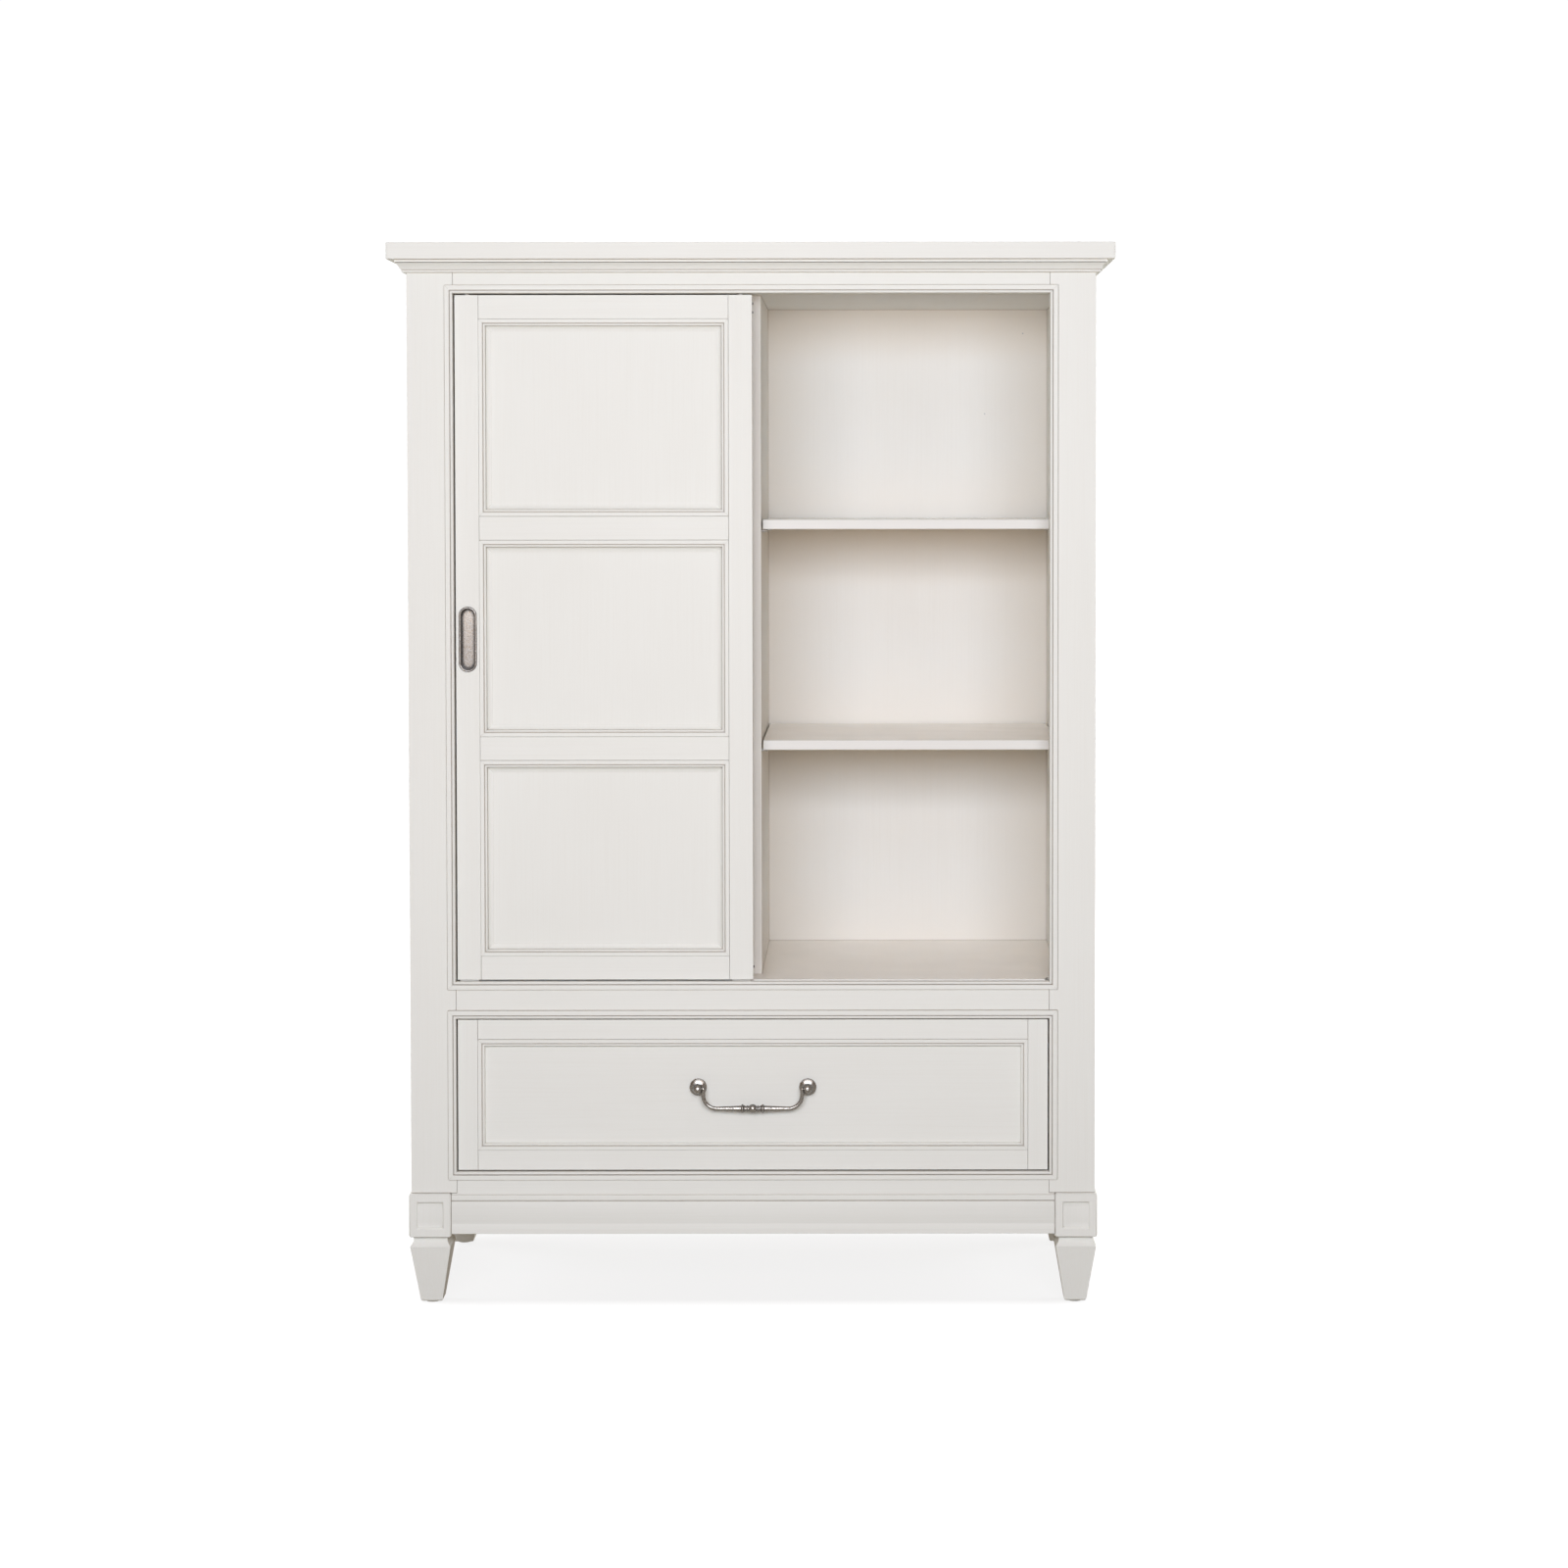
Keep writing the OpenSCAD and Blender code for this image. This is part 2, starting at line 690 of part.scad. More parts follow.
// Cove crown under the top panel, mitred at the front corners
module crown_moulding() {
    p = crown_proj;
    color(paint) {
        intersection() {
            along_x(-case_half - p, case_half + p)
                translate([front_y, z_case])
                    mirror([1, 0])
                        crown_profile();
            linear_extrude(height)
                polygon([[mitre_seam - case_half, front_y], [case_half - mitre_seam, front_y],
                         [case_half + p - mitre_seam, front_y - p],
                         [mitre_seam - case_half - p, front_y - p]]);
        }
        both_sides()
            intersection() {
                along_y(front_y - p, back_y)
                    translate([case_half, z_case])
                        crown_profile();
                linear_extrude(height)
                    polygon([[case_half, front_y], [case_half + p, front_y - p],
                             [case_half + p, back_y], [case_half, back_y]]);
            }
    }
}

// Shallow seats around both openings that hold the trim
module trim_seats() {
    x = open_half + bead_band + seam;
    b = bead_band + seam;
    for (z = [[z_deck, z_head], [z_drawer0, z_drawer1]])
        slab([-x, x], [front_y - 1, front_y + trim_seat], [z[0] - b, z[1] + b]);
}

// Front post: a face stile with a side leg behind it
module front_post() {
    color(paint)
        difference() {
            translate([0, 0, z_block1 + seam])
                linear_extrude(z_case - z_block1 - seam)
                    polygon([[open_half, front_y], [case_half, front_y], [case_half, front_post_y],
                             [inner_half, front_post_y], [inner_half, front_y + frame_t],
                             [open_half, front_y + frame_t]]);
            trim_seats();
        }
}

module front_post_left() {
    mirror([1, 0, 0])
        front_post();
}

module front_post_right() {
    front_post();
}

// Rear posts, rebated for the back panel
module rear_posts() {
    color(paint)
        both_sides()
            translate([0, 0, z_block1])
                linear_extrude(z_case - z_block1)
                    polygon([[inner_half, rear_post_y], [case_half, rear_post_y], [case_half, back_y],
                             [inner_half + back_lap, back_y], [inner_half + back_lap, back_in_y],
                             [inner_half, back_in_y]]);
}

// Top rail, grooved below for the front door's upper guides
module top_rail() {
    x = open_half - seam;
    color(paint)
        difference() {
            slab([-x, x], [front_y, front_y + frame_t], [z_head, z_case]);
            slab([-x - 1, x + 1], [fd_mid_y - top_groove_w / 2, fd_mid_y + top_groove_w / 2],
                 [z_head - 1, z_head + top_groove_d]);
            trim_seats();
        }
}

// Rail between the doors and the drawer, rebated above for the front door's glides
module middle_rail() {
    x = open_half - seam;
    color(paint)
        difference() {
            along_x(-x, x)
                polygon([[front_y, z_drawer1], [groove_y1, z_drawer1], [groove_y1, z_deck - groove_d],
                         [groove_y0, z_deck - groove_d], [groove_y0, z_deck], [front_y, z_deck]]);
            trim_seats();
        }
}

// Bottom rail, wider below where it meets the corner blocks
module bottom_rail() {
    x = open_half - seam;
    color(paint)
        difference() {
            along_y(front_y, front_y + frame_t)
                polygon([[-block_x, z_plinth], [block_x, z_plinth], [block_x, z_block1 - seam],
                         [x, z_block1 - seam], [x, z_drawer0], [-x, z_drawer0],
                         [-x, z_block1 - seam], [-block_x, z_block1 - seam]]);
            trim_seats();
        }
}

// Lower and upper rails across the back
module back_rails() {
    color(raw_wood) {
        slab([-block_x, block_x], [back_y - back_rail_t, back_y], [z_plinth, z_block1]);
        slab([-inner_half, inner_half], [back_in_y - back_rail_t, back_in_y],
             [z_case - back_rail_h, z_case]);
    }
}

// Upper and lower rails at the sides
module side_rails() {
    color(paint)
        both_sides()
            translate([case_half - side_rail_t, 0, 0])
                rotate([90, 0, 90])
                    linear_extrude(side_rail_t) {
                        polygon([[block_front_y + block_w, z_plinth], [rear_block_y, z_plinth],
                                 [rear_block_y, z_block1], [rear_post_y, z_block1],
                                 [rear_post_y, z_drawer0], [front_post_y, z_drawer0],
                                 [front_post_y, z_block1], [block_front_y + block_w, z_block1]]);
                        translate([front_post_y, z_head])
                            square([rear_post_y - front_post_y, z_case - z_head]);
                    }
}

// Sunk outer panels between the posts and the side rails
module side_panels() {
    x1 = case_half - side_panel_sink;
    color(paint)
        both_sides()
            slab([x1 - side_panel_t, x1], [front_post_y, rear_post_y], [z_drawer0, z_head]);
}

// Holes for shelf pins, drilled along X from x0 to x1 at both shelf heights
module pin_holes(x0, x1) {
    for (y = pin_ys)
        for (z = [shelf_low, shelf_high])
            for (i = [-hole_rows:hole_rows])
                translate([x0, y, z_deck + z - shelf_t - pin_r + i * hole_pitch])
                    rotate([0, 90, 0])
                        cylinder(r = pin_r, h = x1 - x0);
}

// Inner side boards, drilled for the shelf pins
module side_linings() {
    color(paint_inside)
        both_sides()
            difference() {
                slab([inner_half, inner_half + lining_t], [front_post_y, rear_post_y],
                     [z_block1, z_case]);
                pin_holes(inner_half - 1, inner_half + pin_in + 1);
            }
}

module back_panel() {
    x = inner_half + back_lap;
    color(paint_inside)
        slab([-x, x], [back_in_y, back_y], [z_block1, z_case]);
}

module ceiling_panel() {
    color(paint_inside)
        slab([-inner_half, inner_half], [front_y + frame_t + top_track_d, back_in_y],
             [z_ceiling, z_ceiling + ceiling_t]);
}

// Deck under the doors, nicked at its front corners beside the stiles
module deck_panel() {
    y0 = front_y + frame_t;
    color(paint_inside)
        difference() {
            slab([-inner_half, inner_half], [y0, back_in_y], [z_deck - deck_t, z_deck]);
            both_sides()
                translate([0, 0, z_deck - deck_t - 1])
                    linear_extrude(deck_t + 2)
                        polygon([[open_half - 6, y0 - 1], [open_half + 3, y0 - 1],
                                 [open_half + 3, y0 + 24], [open_half, y0 + 24]]);
            guide_fin(z_deck - fin_in, z_deck + 1);
        }
}

// Divider between the left and right compartments, drilled through for shelf pins
module centre_divider() {
    x = divider_t / 2;
    color(paint_inside)
        difference() {
            slab([-x, x], [board_y, back_in_y], [z_deck, z_ceiling]);
            pin_holes(-x - 1, x + 1);
        }
}

// Panel under the drawer
module dust_panel() {
    color(raw_wood)
        slab([-inner_half, inner_half], [front_y + frame_t, back_in_y],
             [z_block1, z_block1 + dust_t]);
}

module door_opening_trim() {
    h = z_head - z_deck;
    color(paint)
        translate([0, front_y, z_deck + h / 2])
            moulding_ring(2 * (open_half + bead_band), h + 2 * bead_band, bead_band, 20)
                opening_trim_profile();
}

module drawer_opening_trim() {
    color(paint)
        translate([0, front_y, z_drawer0 + drawer_open_h / 2])
            moulding_ring(2 * (open_half + bead_band), drawer_open_h + 2 * bead_band, bead_band, 20)
                opening_trim_profile();
}

// Sunk square with bevelled walls and a swelling floor, opening towards -Y,
// centred on the face at Y = 0
module block_pocket() {
    w = block_w - 2 * block_border;
    h = block_h - 2 * block_border - 2.6;
    i = block_bevel;
    d = block_sink;
    swell_r = (pow(h / 2 - i, 2) + pow(block_swell, 2)) / (2 * block_swell);
    difference() {
        intersection() {
            translate([0, 0, -h / 2])
                linear_extrude(h)
                    polygon([[-w / 2 - i / d, -1], [w / 2 + i / d, -1], [w / 2 - i, d], [i - w / 2, d]]);
            along_x(-w, w)
                polygon([[-1, -h / 2 - i / d], [-1, h / 2 + i / d], [d, h / 2 - i], [d, i - h / 2]]);
        }
        along_x(-w, w)
            translate([d - block_swell + swell_r, 0])
                circle(swell_r, $fn = 240);
    }
}

// Square corner block with eased arrises, centred in plan, standing on Z = 0
module corner_block(has_front) {
    difference() {
        intersection() {
            along_y(-block_w, block_w)
                translate([0, block_h / 2])
                    soft_rect(block_w, block_h, block_r);
            along_x(-block_w, block_w)
                translate([0, block_h / 2])
                    soft_rect(block_w, block_h, block_edge_r);
            linear_extrude(block_h)
                soft_rect(block_w, block_w, 2 * block_edge_r);
        }
        translate([block_w / 2, 0, block_h / 2])
            rotate([0, 0, 90])
                block_pocket();
        if (has_front)
            translate([0, -block_w / 2, block_h / 2])
                block_pocket();
    }
}

module base_blocks() {
    color(paint)
        both_sides() {
            translate([block_mid_x, block_mid_y, z_block0])
                corner_block(true);
            translate([block_mid_x, rear_block_y + block_w / 2, z_block0])
                corner_block(false);
        }
}

// Base moulding between the blocks, on the front and on both sides
module base_moulding() {
    color(paint) {
        along_x(seam - block_x, block_x - seam)
            translate([front_y, z_plinth])
                mirror([1, 0])
                    base_profile();
        both_sides()
            along_y(block_front_y + block_w + seam, rear_block_y - seam)
                translate([case_half, z_plinth])
                    base_profile();
    }
}

// Outline of a spade foot: toe, tapered leg, shoulder, hollow flare and neck
module foot_outline() {
    n = foot_neck / 2;
    s = foot_shoulder / 2;
    t = foot_toe / 2;
    z_neck = foot_h - foot_neck_h;
    z_shoulder = z_neck - foot_flare_h;
    flare = [for (i = [0:8]) [n + (s - n) * pow(1 - i / 8, 1.7), z_shoulder + foot_flare_h * i / 8]];
    r = foot_toe_r;
    shoulder = [s - foot_shoulder_in, z_shoulder - foot_shoulder_h];
    side = concat(arc(t - r, glide_t + r, r, -90, 0, 8), [shoulder], flare, [[n, foot_h]]);
    polygon(concat(side, [for (i = [len(side) - 1:-1:0]) [-side[i][0], side[i][1]]]));
}

module spade_foot() {
    intersection() {
        along_x(-block_w, block_w)
            foot_outline();
        along_y(-block_w, block_w)
            foot_outline();
    }
}

// The children at each of the four corners
module at_corners() {
    both_sides() {
        translate([block_mid_x, block_mid_y, 0])
            children();
        translate([block_mid_x, rear_block_y + block_w / 2, 0])
            children();
    }
}

module feet() {
    color(paint)
        at_corners()
            spade_foot();
}

module foot_glides() {
    color(nylon)
        at_corners()
            rotate_extrude()
                polygon([[0, 0], [glide_r - 1, 0], [glide_r, 1], [glide_r, glide_t], [0, glide_t]]);
}

// Glue blocks behind the bottom rail, beside the corner blocks
module corner_braces() {
    y0 = front_y + frame_t;
    leg = block_front_y + block_w - y0;
    color(raw_wood)
        both_sides()
            translate([0, 0, z_plinth + 6])
                linear_extrude(z_block1 - z_plinth - 12)
                    polygon([[block_x, y0], [block_x - leg, y0], [block_x, y0 + leg]]);
}

// One shelf, level with height z above the deck, with an eased front edge
module shelf(z) {
    y1 = shelf_back_y;
    r = 1.5;
    color(paint)
        along_x(divider_t / 2 + shelf_end_gap, inner_half - shelf_end_gap) {
            translate([board_y + r, z_deck + z - shelf_t])
                square([y1 - board_y - r, shelf_t]);
            translate([board_y, z_deck + z - shelf_t + r])
                square([2 * r, shelf_t - 2 * r]);
            for (h = [z_deck + z - r, z_deck + z - shelf_t + r])
                translate([board_y + r, h])
                    circle(r);
        }
}

module shelf_right_low() {
    shelf(shelf_low);
}

module shelf_right_high() {
    shelf(shelf_high);
}

module shelf_left_low() {
    mirror([1, 0, 0])
        shelf(shelf_low);
}

module shelf_left_high() {
    mirror([1, 0, 0])
        shelf(shelf_high);
}

// Pins that carry the shelves, in the divider and in the side boards
module shelf_pins() {
    l = pin_in + pin_out;
    color(steel)
        both_sides()
            for (y = pin_ys)
                for (z = [shelf_low, shelf_high])
                    for (x = [divider_t / 2 - pin_in, inner_half + pin_in - l])
                        translate([x, y, z_deck + z - shelf_t - pin_r])
                            rotate([0, 90, 0])
                                cylinder(r = pin_r, h = l);
}

// Board behind the top rail, grooved for the rear door's upper guides
module top_track() {
    y0 = front_y + frame_t;
    color(paint)
        difference() {
            slab([-inner_half, inner_half], [y0, y0 + top_track_d], [z_ceiling, z_ceiling + top_track_t]);
            slab([-inner_half - 1, inner_half + 1],
                 [rd_mid_y - top_groove_w / 2, rd_mid_y + top_groove_w / 2],
                 [z_ceiling - 1, z_ceiling + top_groove_d]);
        }
}

// Upright fin between two heights, on the line of the rear door's slot
module guide_fin(z0, z1) {
    slab([rd_x1 - 4 - fin_l, rd_x1 - 4], [rd_mid_y - fin_t / 2, rd_mid_y + fin_t / 2], [z0, z1]);
}

// Guide let into the deck, inside the slot of the rear door
module floor_guide() {
    color(nylon)
        guide_fin(z_deck - fin_in, door_z0 + kerf_h - 2);
}

// Cleats on the side boards that carry the drawer slides
module slide_cleats() {
    color(raw_wood)
        both_sides()
            slab([open_half, inner_half], [front_y + frame_t, back_in_y],
                 [slide_z - cleat_h / 2, slide_z + cleat_h / 2]);
}

// Channel of bent sheet, h high and w deep, with its web at x0 and its flanges towards dir
module slide_channel(x0, dir, w, h) {
    x1 = x0 + dir * w;
    s = slide_sheet;
    along_y(slide_y0, slide_y1)
        translate([0, slide_z])
            difference() {
                translate([min(x0, x1), -h / 2])
                    square([w, h]);
                translate([min(x0 + dir * s, x1 + dir), -h / 2 + s])
                    square([w - s + 1, h - 2 * s]);
            }
}

module slide_cabinet_members() {
    color(steel)
        both_sides()
            slide_channel(open_half, -1, slide_t - 1.5, slide_h);
}

module slide_middle_members() {
    h = slide_h - 2 * slide_sheet - 2 * slide_gap;
    color(steel)
        both_sides()
            slide_channel(open_half - slide_sheet - slide_gap, -1, slide_t - 4.6, h);
}

module drawer_slide_members() {
    h = slide_h - 4 * slide_sheet - 4 * slide_gap;
    color(steel)
        both_sides()
            slide_channel(box_half, 1, slide_t - 2 * slide_sheet - 2 * slide_gap - 0.4, h);
}

// Height of the lower edge of door rail number i
function rail_z(i) = door_z0 + i * (door_rail_h + panel_h);

// Pair of door stiles between x0 and x1, with the face at y, bored for guides and glides
module door_stiles(x0, x1, y, glide_w, mid_y) {
    difference() {
        for (x = [x0, x1 - door_stile_w])
            slab([x, x + door_stile_w], [y, y + door_t], [door_z0, door_z1]);
        for (x = [x0 + door_stile_w / 2, x1 - door_stile_w / 2]) {
            translate([x, mid_y, door_z1 - guide_in])
                cylinder(r = guide_r, h = guide_in + 1);
            slab([x - door_glide_l / 2, x + door_glide_l / 2],
                 [mid_y - glide_w / 2, mid_y + glide_w / 2], [door_z0 - 1, door_z0 + glide_in]);
        }
    }
}

module door_rails(x0, x1, y) {
    for (i = [0:door_panels])
        slab([x0 + door_stile_w + seam, x1 - door_stile_w - seam], [y, y + door_t],
             [rail_z(i), rail_z(i) + door_rail_h]);
}

// The children in the middle of each panel opening of a door
module each_door_panel(x0, x1, y) {
    for (i = [0:door_panels - 1])
        translate([(x0 + x1) / 2, y, rail_z(i) + door_rail_h + panel_h / 2])
            children();
}

module door_panel_field(x0, x1, y) {
    w = x1 - x0 - 2 * door_stile_w - 2 * seam;
    h = panel_h - 2 * seam;
    each_door_panel(x0, x1, y)
        slab([-w / 2, w / 2], [door_panel_sink, door_panel_sink + door_panel_t], [-h / 2, h / 2]);
}

module door_mouldings(x0, x1, y) {
    each_door_panel(x0, x1, y)
        moulding_ring(x1 - x0 - 2 * door_stile_w - 2 * seam, panel_h - 2 * seam, dm_band, 20)
            door_moulding_profile();
}

// Space for a flush pull's cup, in a door face at Y = 0
module flush_pocket() {
    along_y(-4, flush_depth + flush_wall)
        stadium(flush_w - 2 * flush_rim_r, flush_l - 2 * flush_rim_r);
}

// Flush pull: a cup with a round rim, in a door face at Y = 0
module flush_pull() {
    w = flush_w - 2 * flush_rim_r;
    l = flush_l - 2 * flush_rim_r;
    difference() {
        union() {
            along_y(0, flush_depth + flush_wall - 0.1)
                stadium(w - 0.1, l - 0.1);
            intersection() {
                flush_rim(w, l);
                along_y(-2 * flush_rim_r, 0)
                    stadium(2 * w, 2 * l);
            }
        }
        along_y(-2 * flush_rim_r, flush_depth)
            stadium(w - 2 * flush_rim_r, l - 2 * flush_rim_r);
    }
}

// Round bar bent to a slot shape, w by l on its centre line
module flush_rim(w, l) {
    for (m = [0, 1])
        mirror([0, 0, m])
            translate([0, 0, (l - w) / 2])
                rotate([90, 0, 0])
                    rotate_extrude(angle = 180)
                        translate([w / 2, 0])
                            circle(flush_rim_r);
    for (x = [-w / 2, w / 2])
        translate([x, 0, -(l - w) / 2])
            cylinder(r = flush_rim_r, h = l - w);
}

// Upper guides: nylon pins that run in the top grooves
module door_guides(x0, x1, mid_y, z_top) {
    for (x = [x0 + door_stile_w / 2, x1 - door_stile_w / 2])
        translate([x, mid_y, door_z1 - guide_in])
            cylinder(r = guide_r, h = z_top - door_z1 + guide_in);
}

module front_door_stiles() {
    color(paint)
        difference() {
            door_stiles(fd_x0, fd_x1, fd_y, groove_w - 2 * run_clear, groove_mid_y);
            translate([fd_x0 + door_stile_w / 2, fd_y, pull_z])
                flush_pocket();
            translate([fd_x1 - 5, fd_mid_y, 0])
                each_bumper()
                    cylinder(r = bumper_r - 0.6, h = 10);
        }
}

module front_door_rails() {
    color(paint)
        door_rails(fd_x0, fd_x1, fd_y);
}

module front_door_panels() {
    color(paint)
        door_panel_field(fd_x0, fd_x1, fd_y);
}

module front_door_moulding() {
    color(paint)
        door_mouldings(fd_x0, fd_x1, fd_y);
}

module front_door_pull() {
    color(nickel)
        translate([fd_x0 + door_stile_w / 2, fd_y, pull_z])
            flush_pull();
}

// Glides at the foot of the front door, running in the lower groove
module front_door_glides() {
    w = groove_w - 2 * run_clear;
    color(nylon)
        for (x = [fd_x0 + door_stile_w / 2, fd_x1 - door_stile_w / 2])
            slab([x - door_glide_l / 2, x + door_glide_l / 2], [groove_mid_y - w / 2, groove_mid_y + w / 2],
                 [z_deck - groove_d + rest_clear, door_z0 + glide_in]);
}

module front_door_guides() {
    color(nylon)
        door_guides(fd_x0, fd_x1, fd_mid_y, z_head + top_groove_d - 2);
}

// The children at each bumper height, turned to point along +X
module each_bumper() {
    for (z = [door_z1 - 13.3, door_z1 - 27.5, door_z0 + 19.5])
        translate([0, 0, z])
            rotate([0, 90, 0])
                children();
}

// Small rubber bumpers on the front door's meeting edge
module front_door_bumpers() {
    color(rubber)
        translate([fd_x1 - 5, fd_mid_y, 0])
            each_bumper() {
                cylinder(r = bumper_r - 0.6, h = 5);
                translate([0, 0, 5])
                    cylinder(r = bumper_r, h = bumper_out - 0.5);
                translate([0, 0, 4.5 + bumper_out])
                    cylinder(r1 = bumper_r, r2 = bumper_r - 0.7, h = 0.5);
            }
}

// Slot along the rear door's bottom edge
module rear_kerf() {
    slab([rd_x0 - 1, rd_x1 + 1], [rd_mid_y - kerf_w / 2, rd_mid_y + kerf_w / 2],
         [door_z0 - 1, door_z0 + kerf_h]);
}

module rear_door_stiles() {
    color(paint)
        difference() {
            door_stiles(rd_x0, rd_x1, rd_y, door_t - 4, rd_mid_y);
            rear_kerf();
            translate([rd_x1 - door_stile_w / 2, rd_y, pull_z])
                flush_pocket();
        }
}

module rear_door_rails() {
    color(paint)
        difference() {
            door_rails(rd_x0, rd_x1, rd_y);
            rear_kerf();
        }
}

module rear_door_panels() {
    color(paint)
        door_panel_field(rd_x0, rd_x1, rd_y);
}

module rear_door_moulding() {
    color(paint)
        door_mouldings(rd_x0, rd_x1, rd_y);
}

module rear_door_pull() {
    color(nickel)
        translate([rd_x1 - door_stile_w / 2, rd_y, pull_z])
            flush_pull();
}

// Glides at the foot of the rear door, on both sides of its slot
module rear_door_glides() {
    color(nylon)
        difference() {
            for (x = [rd_x0 + door_stile_w / 2, rd_x1 - door_stile_w / 2])
                slab([x - door_glide_l / 2, x + door_glide_l / 2],
                     [rd_y + 2, rd_y + door_t - 2], [z_deck + rest_clear, door_z0 + glide_in]);
            translate([0, 0, -door_gap])
                rear_kerf();
            rear_kerf();
        }
}

module rear_door_guides() {
    color(nylon)
        door_guides(rd_x0, rd_x1, rd_mid_y, z_ceiling + top_groove_d - 2);
}

// Drawer front: stiles, rails, panel and moulding
module drawer_stiles() {
    color(paint)
        both_sides()
            slab([dr_half - drawer_stile_w, dr_half], [dr_y, dr_back_y], [dr_z0, dr_z1]);
}

module drawer_rails() {
    x = dr_half - drawer_stile_w - seam;
    color(paint)
        for (z = [dr_z0, dr_z1 - drawer_stile_w])
            slab([-x, x], [dr_y, dr_back_y], [z, z + drawer_stile_w]);
}

// The children at both posts of the pull, turned so that +Z points out of the drawer
module each_post() {
    both_sides()
        translate([pull_c / 2, dr_panel_y, pull_z_dr])
            rotate([90, 0, 0])
                children();
}

module screw_holes() {
    each_post()
        translate([0, 0, -drawer_front_t - box_front_t])
            cylinder(r = screw_r + 0.2, h = drawer_front_t + box_front_t + 1);
}

module drawer_panel() {
    x = dr_half - drawer_stile_w - seam;
    z = drawer_stile_w + seam;
    color(paint)
        difference() {
            slab([-x, x], [dr_panel_y, dr_back_y], [dr_z0 + z, dr_z1 - z]);
            screw_holes();
        }
}

module drawer_moulding() {
    w = 2 * (dr_half - drawer_stile_w - seam);
    h = dr_z1 - dr_z0 - 2 * (drawer_stile_w + seam);
    color(paint)
        translate([0, dr_y, (dr_z0 + dr_z1) / 2])
            moulding_ring(w, h, wm_band, 20)
                drawer_moulding_profile();
}

// Groove line of the drawer's bottom panel
module bottom_groove() {
    slab([-box_in - box_groove, box_in + box_groove], [dr_back_y + box_front_t - box_groove, box_y1 + 1],
         [box_z0 + box_bottom_lift, box_z0 + box_bottom_lift + box_bottom_t]);
}

module drawer_box_front() {
    color(raw_wood)
        difference() {
            slab([-box_half, box_half], [dr_back_y, dr_back_y + box_front_t], [box_z0, box_z1]);
            bottom_groove();
            screw_holes();
        }
}

module drawer_sides() {
    color(raw_wood)
        difference() {
            both_sides()
                slab([box_in, box_half], [dr_back_y + box_front_t, box_y1], [box_z0, box_z1]);
            bottom_groove();
        }
}

module drawer_back() {
    color(raw_wood)
        slab([-box_in, box_in], [box_y1 - box_side_t, box_y1],
             [box_z0 + box_bottom_lift + box_bottom_t, box_z1]);
}

module drawer_bottom() {
    color(raw_wood)
        slab([-box_in - box_groove, box_in + box_groove],
             [dr_back_y + box_front_t - box_groove, box_y1],
             [box_z0 + box_bottom_lift, box_z0 + box_bottom_lift + box_bottom_t]);
}

// Post of the bail pull: domed plate, neck, ball with a flat, and the screw that holds it
module pull_post() {
    dome_r = (pow(plate_r - 1, 2) + pow(plate_dome, 2)) / (2 * plate_dome);
    grip = drawer_front_t - drawer_panel_sink + box_front_t;
    difference() {
        union() {
            cylinder(r = plate_r, h = plate_t);
            rotate_extrude($fn = 64)
                intersection() {
                    translate([0, plate_t + plate_dome - dome_r])
                        circle(dome_r, $fn = 128);
                    translate([0, plate_t - 0.2])
                        square([plate_r, plate_dome + 1]);
                }
            cylinder(r = neck_r, h = ball_out);
            translate([0, 0, ball_out])
                sphere(ball_r, $fn = 64);
        }
        translate([-ball_flat - ball_r, -ball_r, plate_t + plate_dome + 0.4])
            cube([ball_r, 2 * ball_r, ball_out + ball_r]);
        translate([-ball_flat - 1, 0, ball_out])
            rotate([0, 90, 0])
                cylinder(r = hinge_r + hinge_clear, h = hinge_in + 1.5);
    }
    translate([0, 0, -grip])
        cylinder(r = screw_r, h = grip + 1);
    translate([0, 0, -grip - 2.4])
        cylinder(r = 2.2 * screw_r, h = 2.4);
}

module drawer_pull_posts() {
    color(nickel)
        each_post()
            pull_post();
}

// Bail: hinge pins, drop arms, round corners, swelling grips and a turned centre
module drawer_bail() {
    bar_x = arm_x - bail_bend_r;
    color(nickel)
        translate([0, pivot_y, pull_z_dr]) {
            both_sides() {
                translate([arm_x, 0, 0])
                    rotate([0, 90, 0])
                        cylinder(r = hinge_r, h = eye_r + run_clear + hinge_in);
                translate([arm_x, 0, 0])
                    rotate([0, 0, 90])
                        sphere(eye_r);
                translate([arm_x, 0, bail_bend_r - bail_drop])
                    cylinder(r = wire_r, h = bail_drop - bail_bend_r);
                translate([bar_x, 0, bail_bend_r - bail_drop])
                    rotate([90, 0, 0])
                        rotate_extrude(angle = -90)
                            translate([bail_bend_r, 0])
                                circle(wire_r);
            }
            translate([0, 0, -bail_drop])
                rotate([0, 90, 0])
                    rotate_extrude()
                        turned_grip_profile(bar_x);
        }
}

// Half outline of the bail's grip: two long tapers, and turned rings either side of a ball
module turned_grip_profile(bar_x) {
    grip_end = ring_x + 2.5;
    intersection() {
        union() {
            circle(centre_r);
            polygon([[0, -bar_x], [wire_r, -bar_x], [grip_r, -grip_end], [grip_r - 0.6, -grip_end],
                [grip_r - 0.6, grip_end], [grip_r, grip_end], [wire_r, bar_x], [0, bar_x]]);
            for (s = [-1, 1]) {
                translate([0, s * ring_x])
                    ring_outline(ring_r, 2);
                for (x = [centre_r + 1.4, ring_x - 3.2])
                    translate([0, s * x])
                        ring_outline(grip_r + 0.6, 1);
            }
        }
        translate([0, -bar_x])
            square([ring_r + centre_r, 2 * bar_x]);
    }
}

// Half section of a turned ring of outer radius r and half width e
module ring_outline(r, e) {
    translate([r - e, 0])
        circle(e);
    translate([0, -e])
        square([r - e, 2 * e]);
}

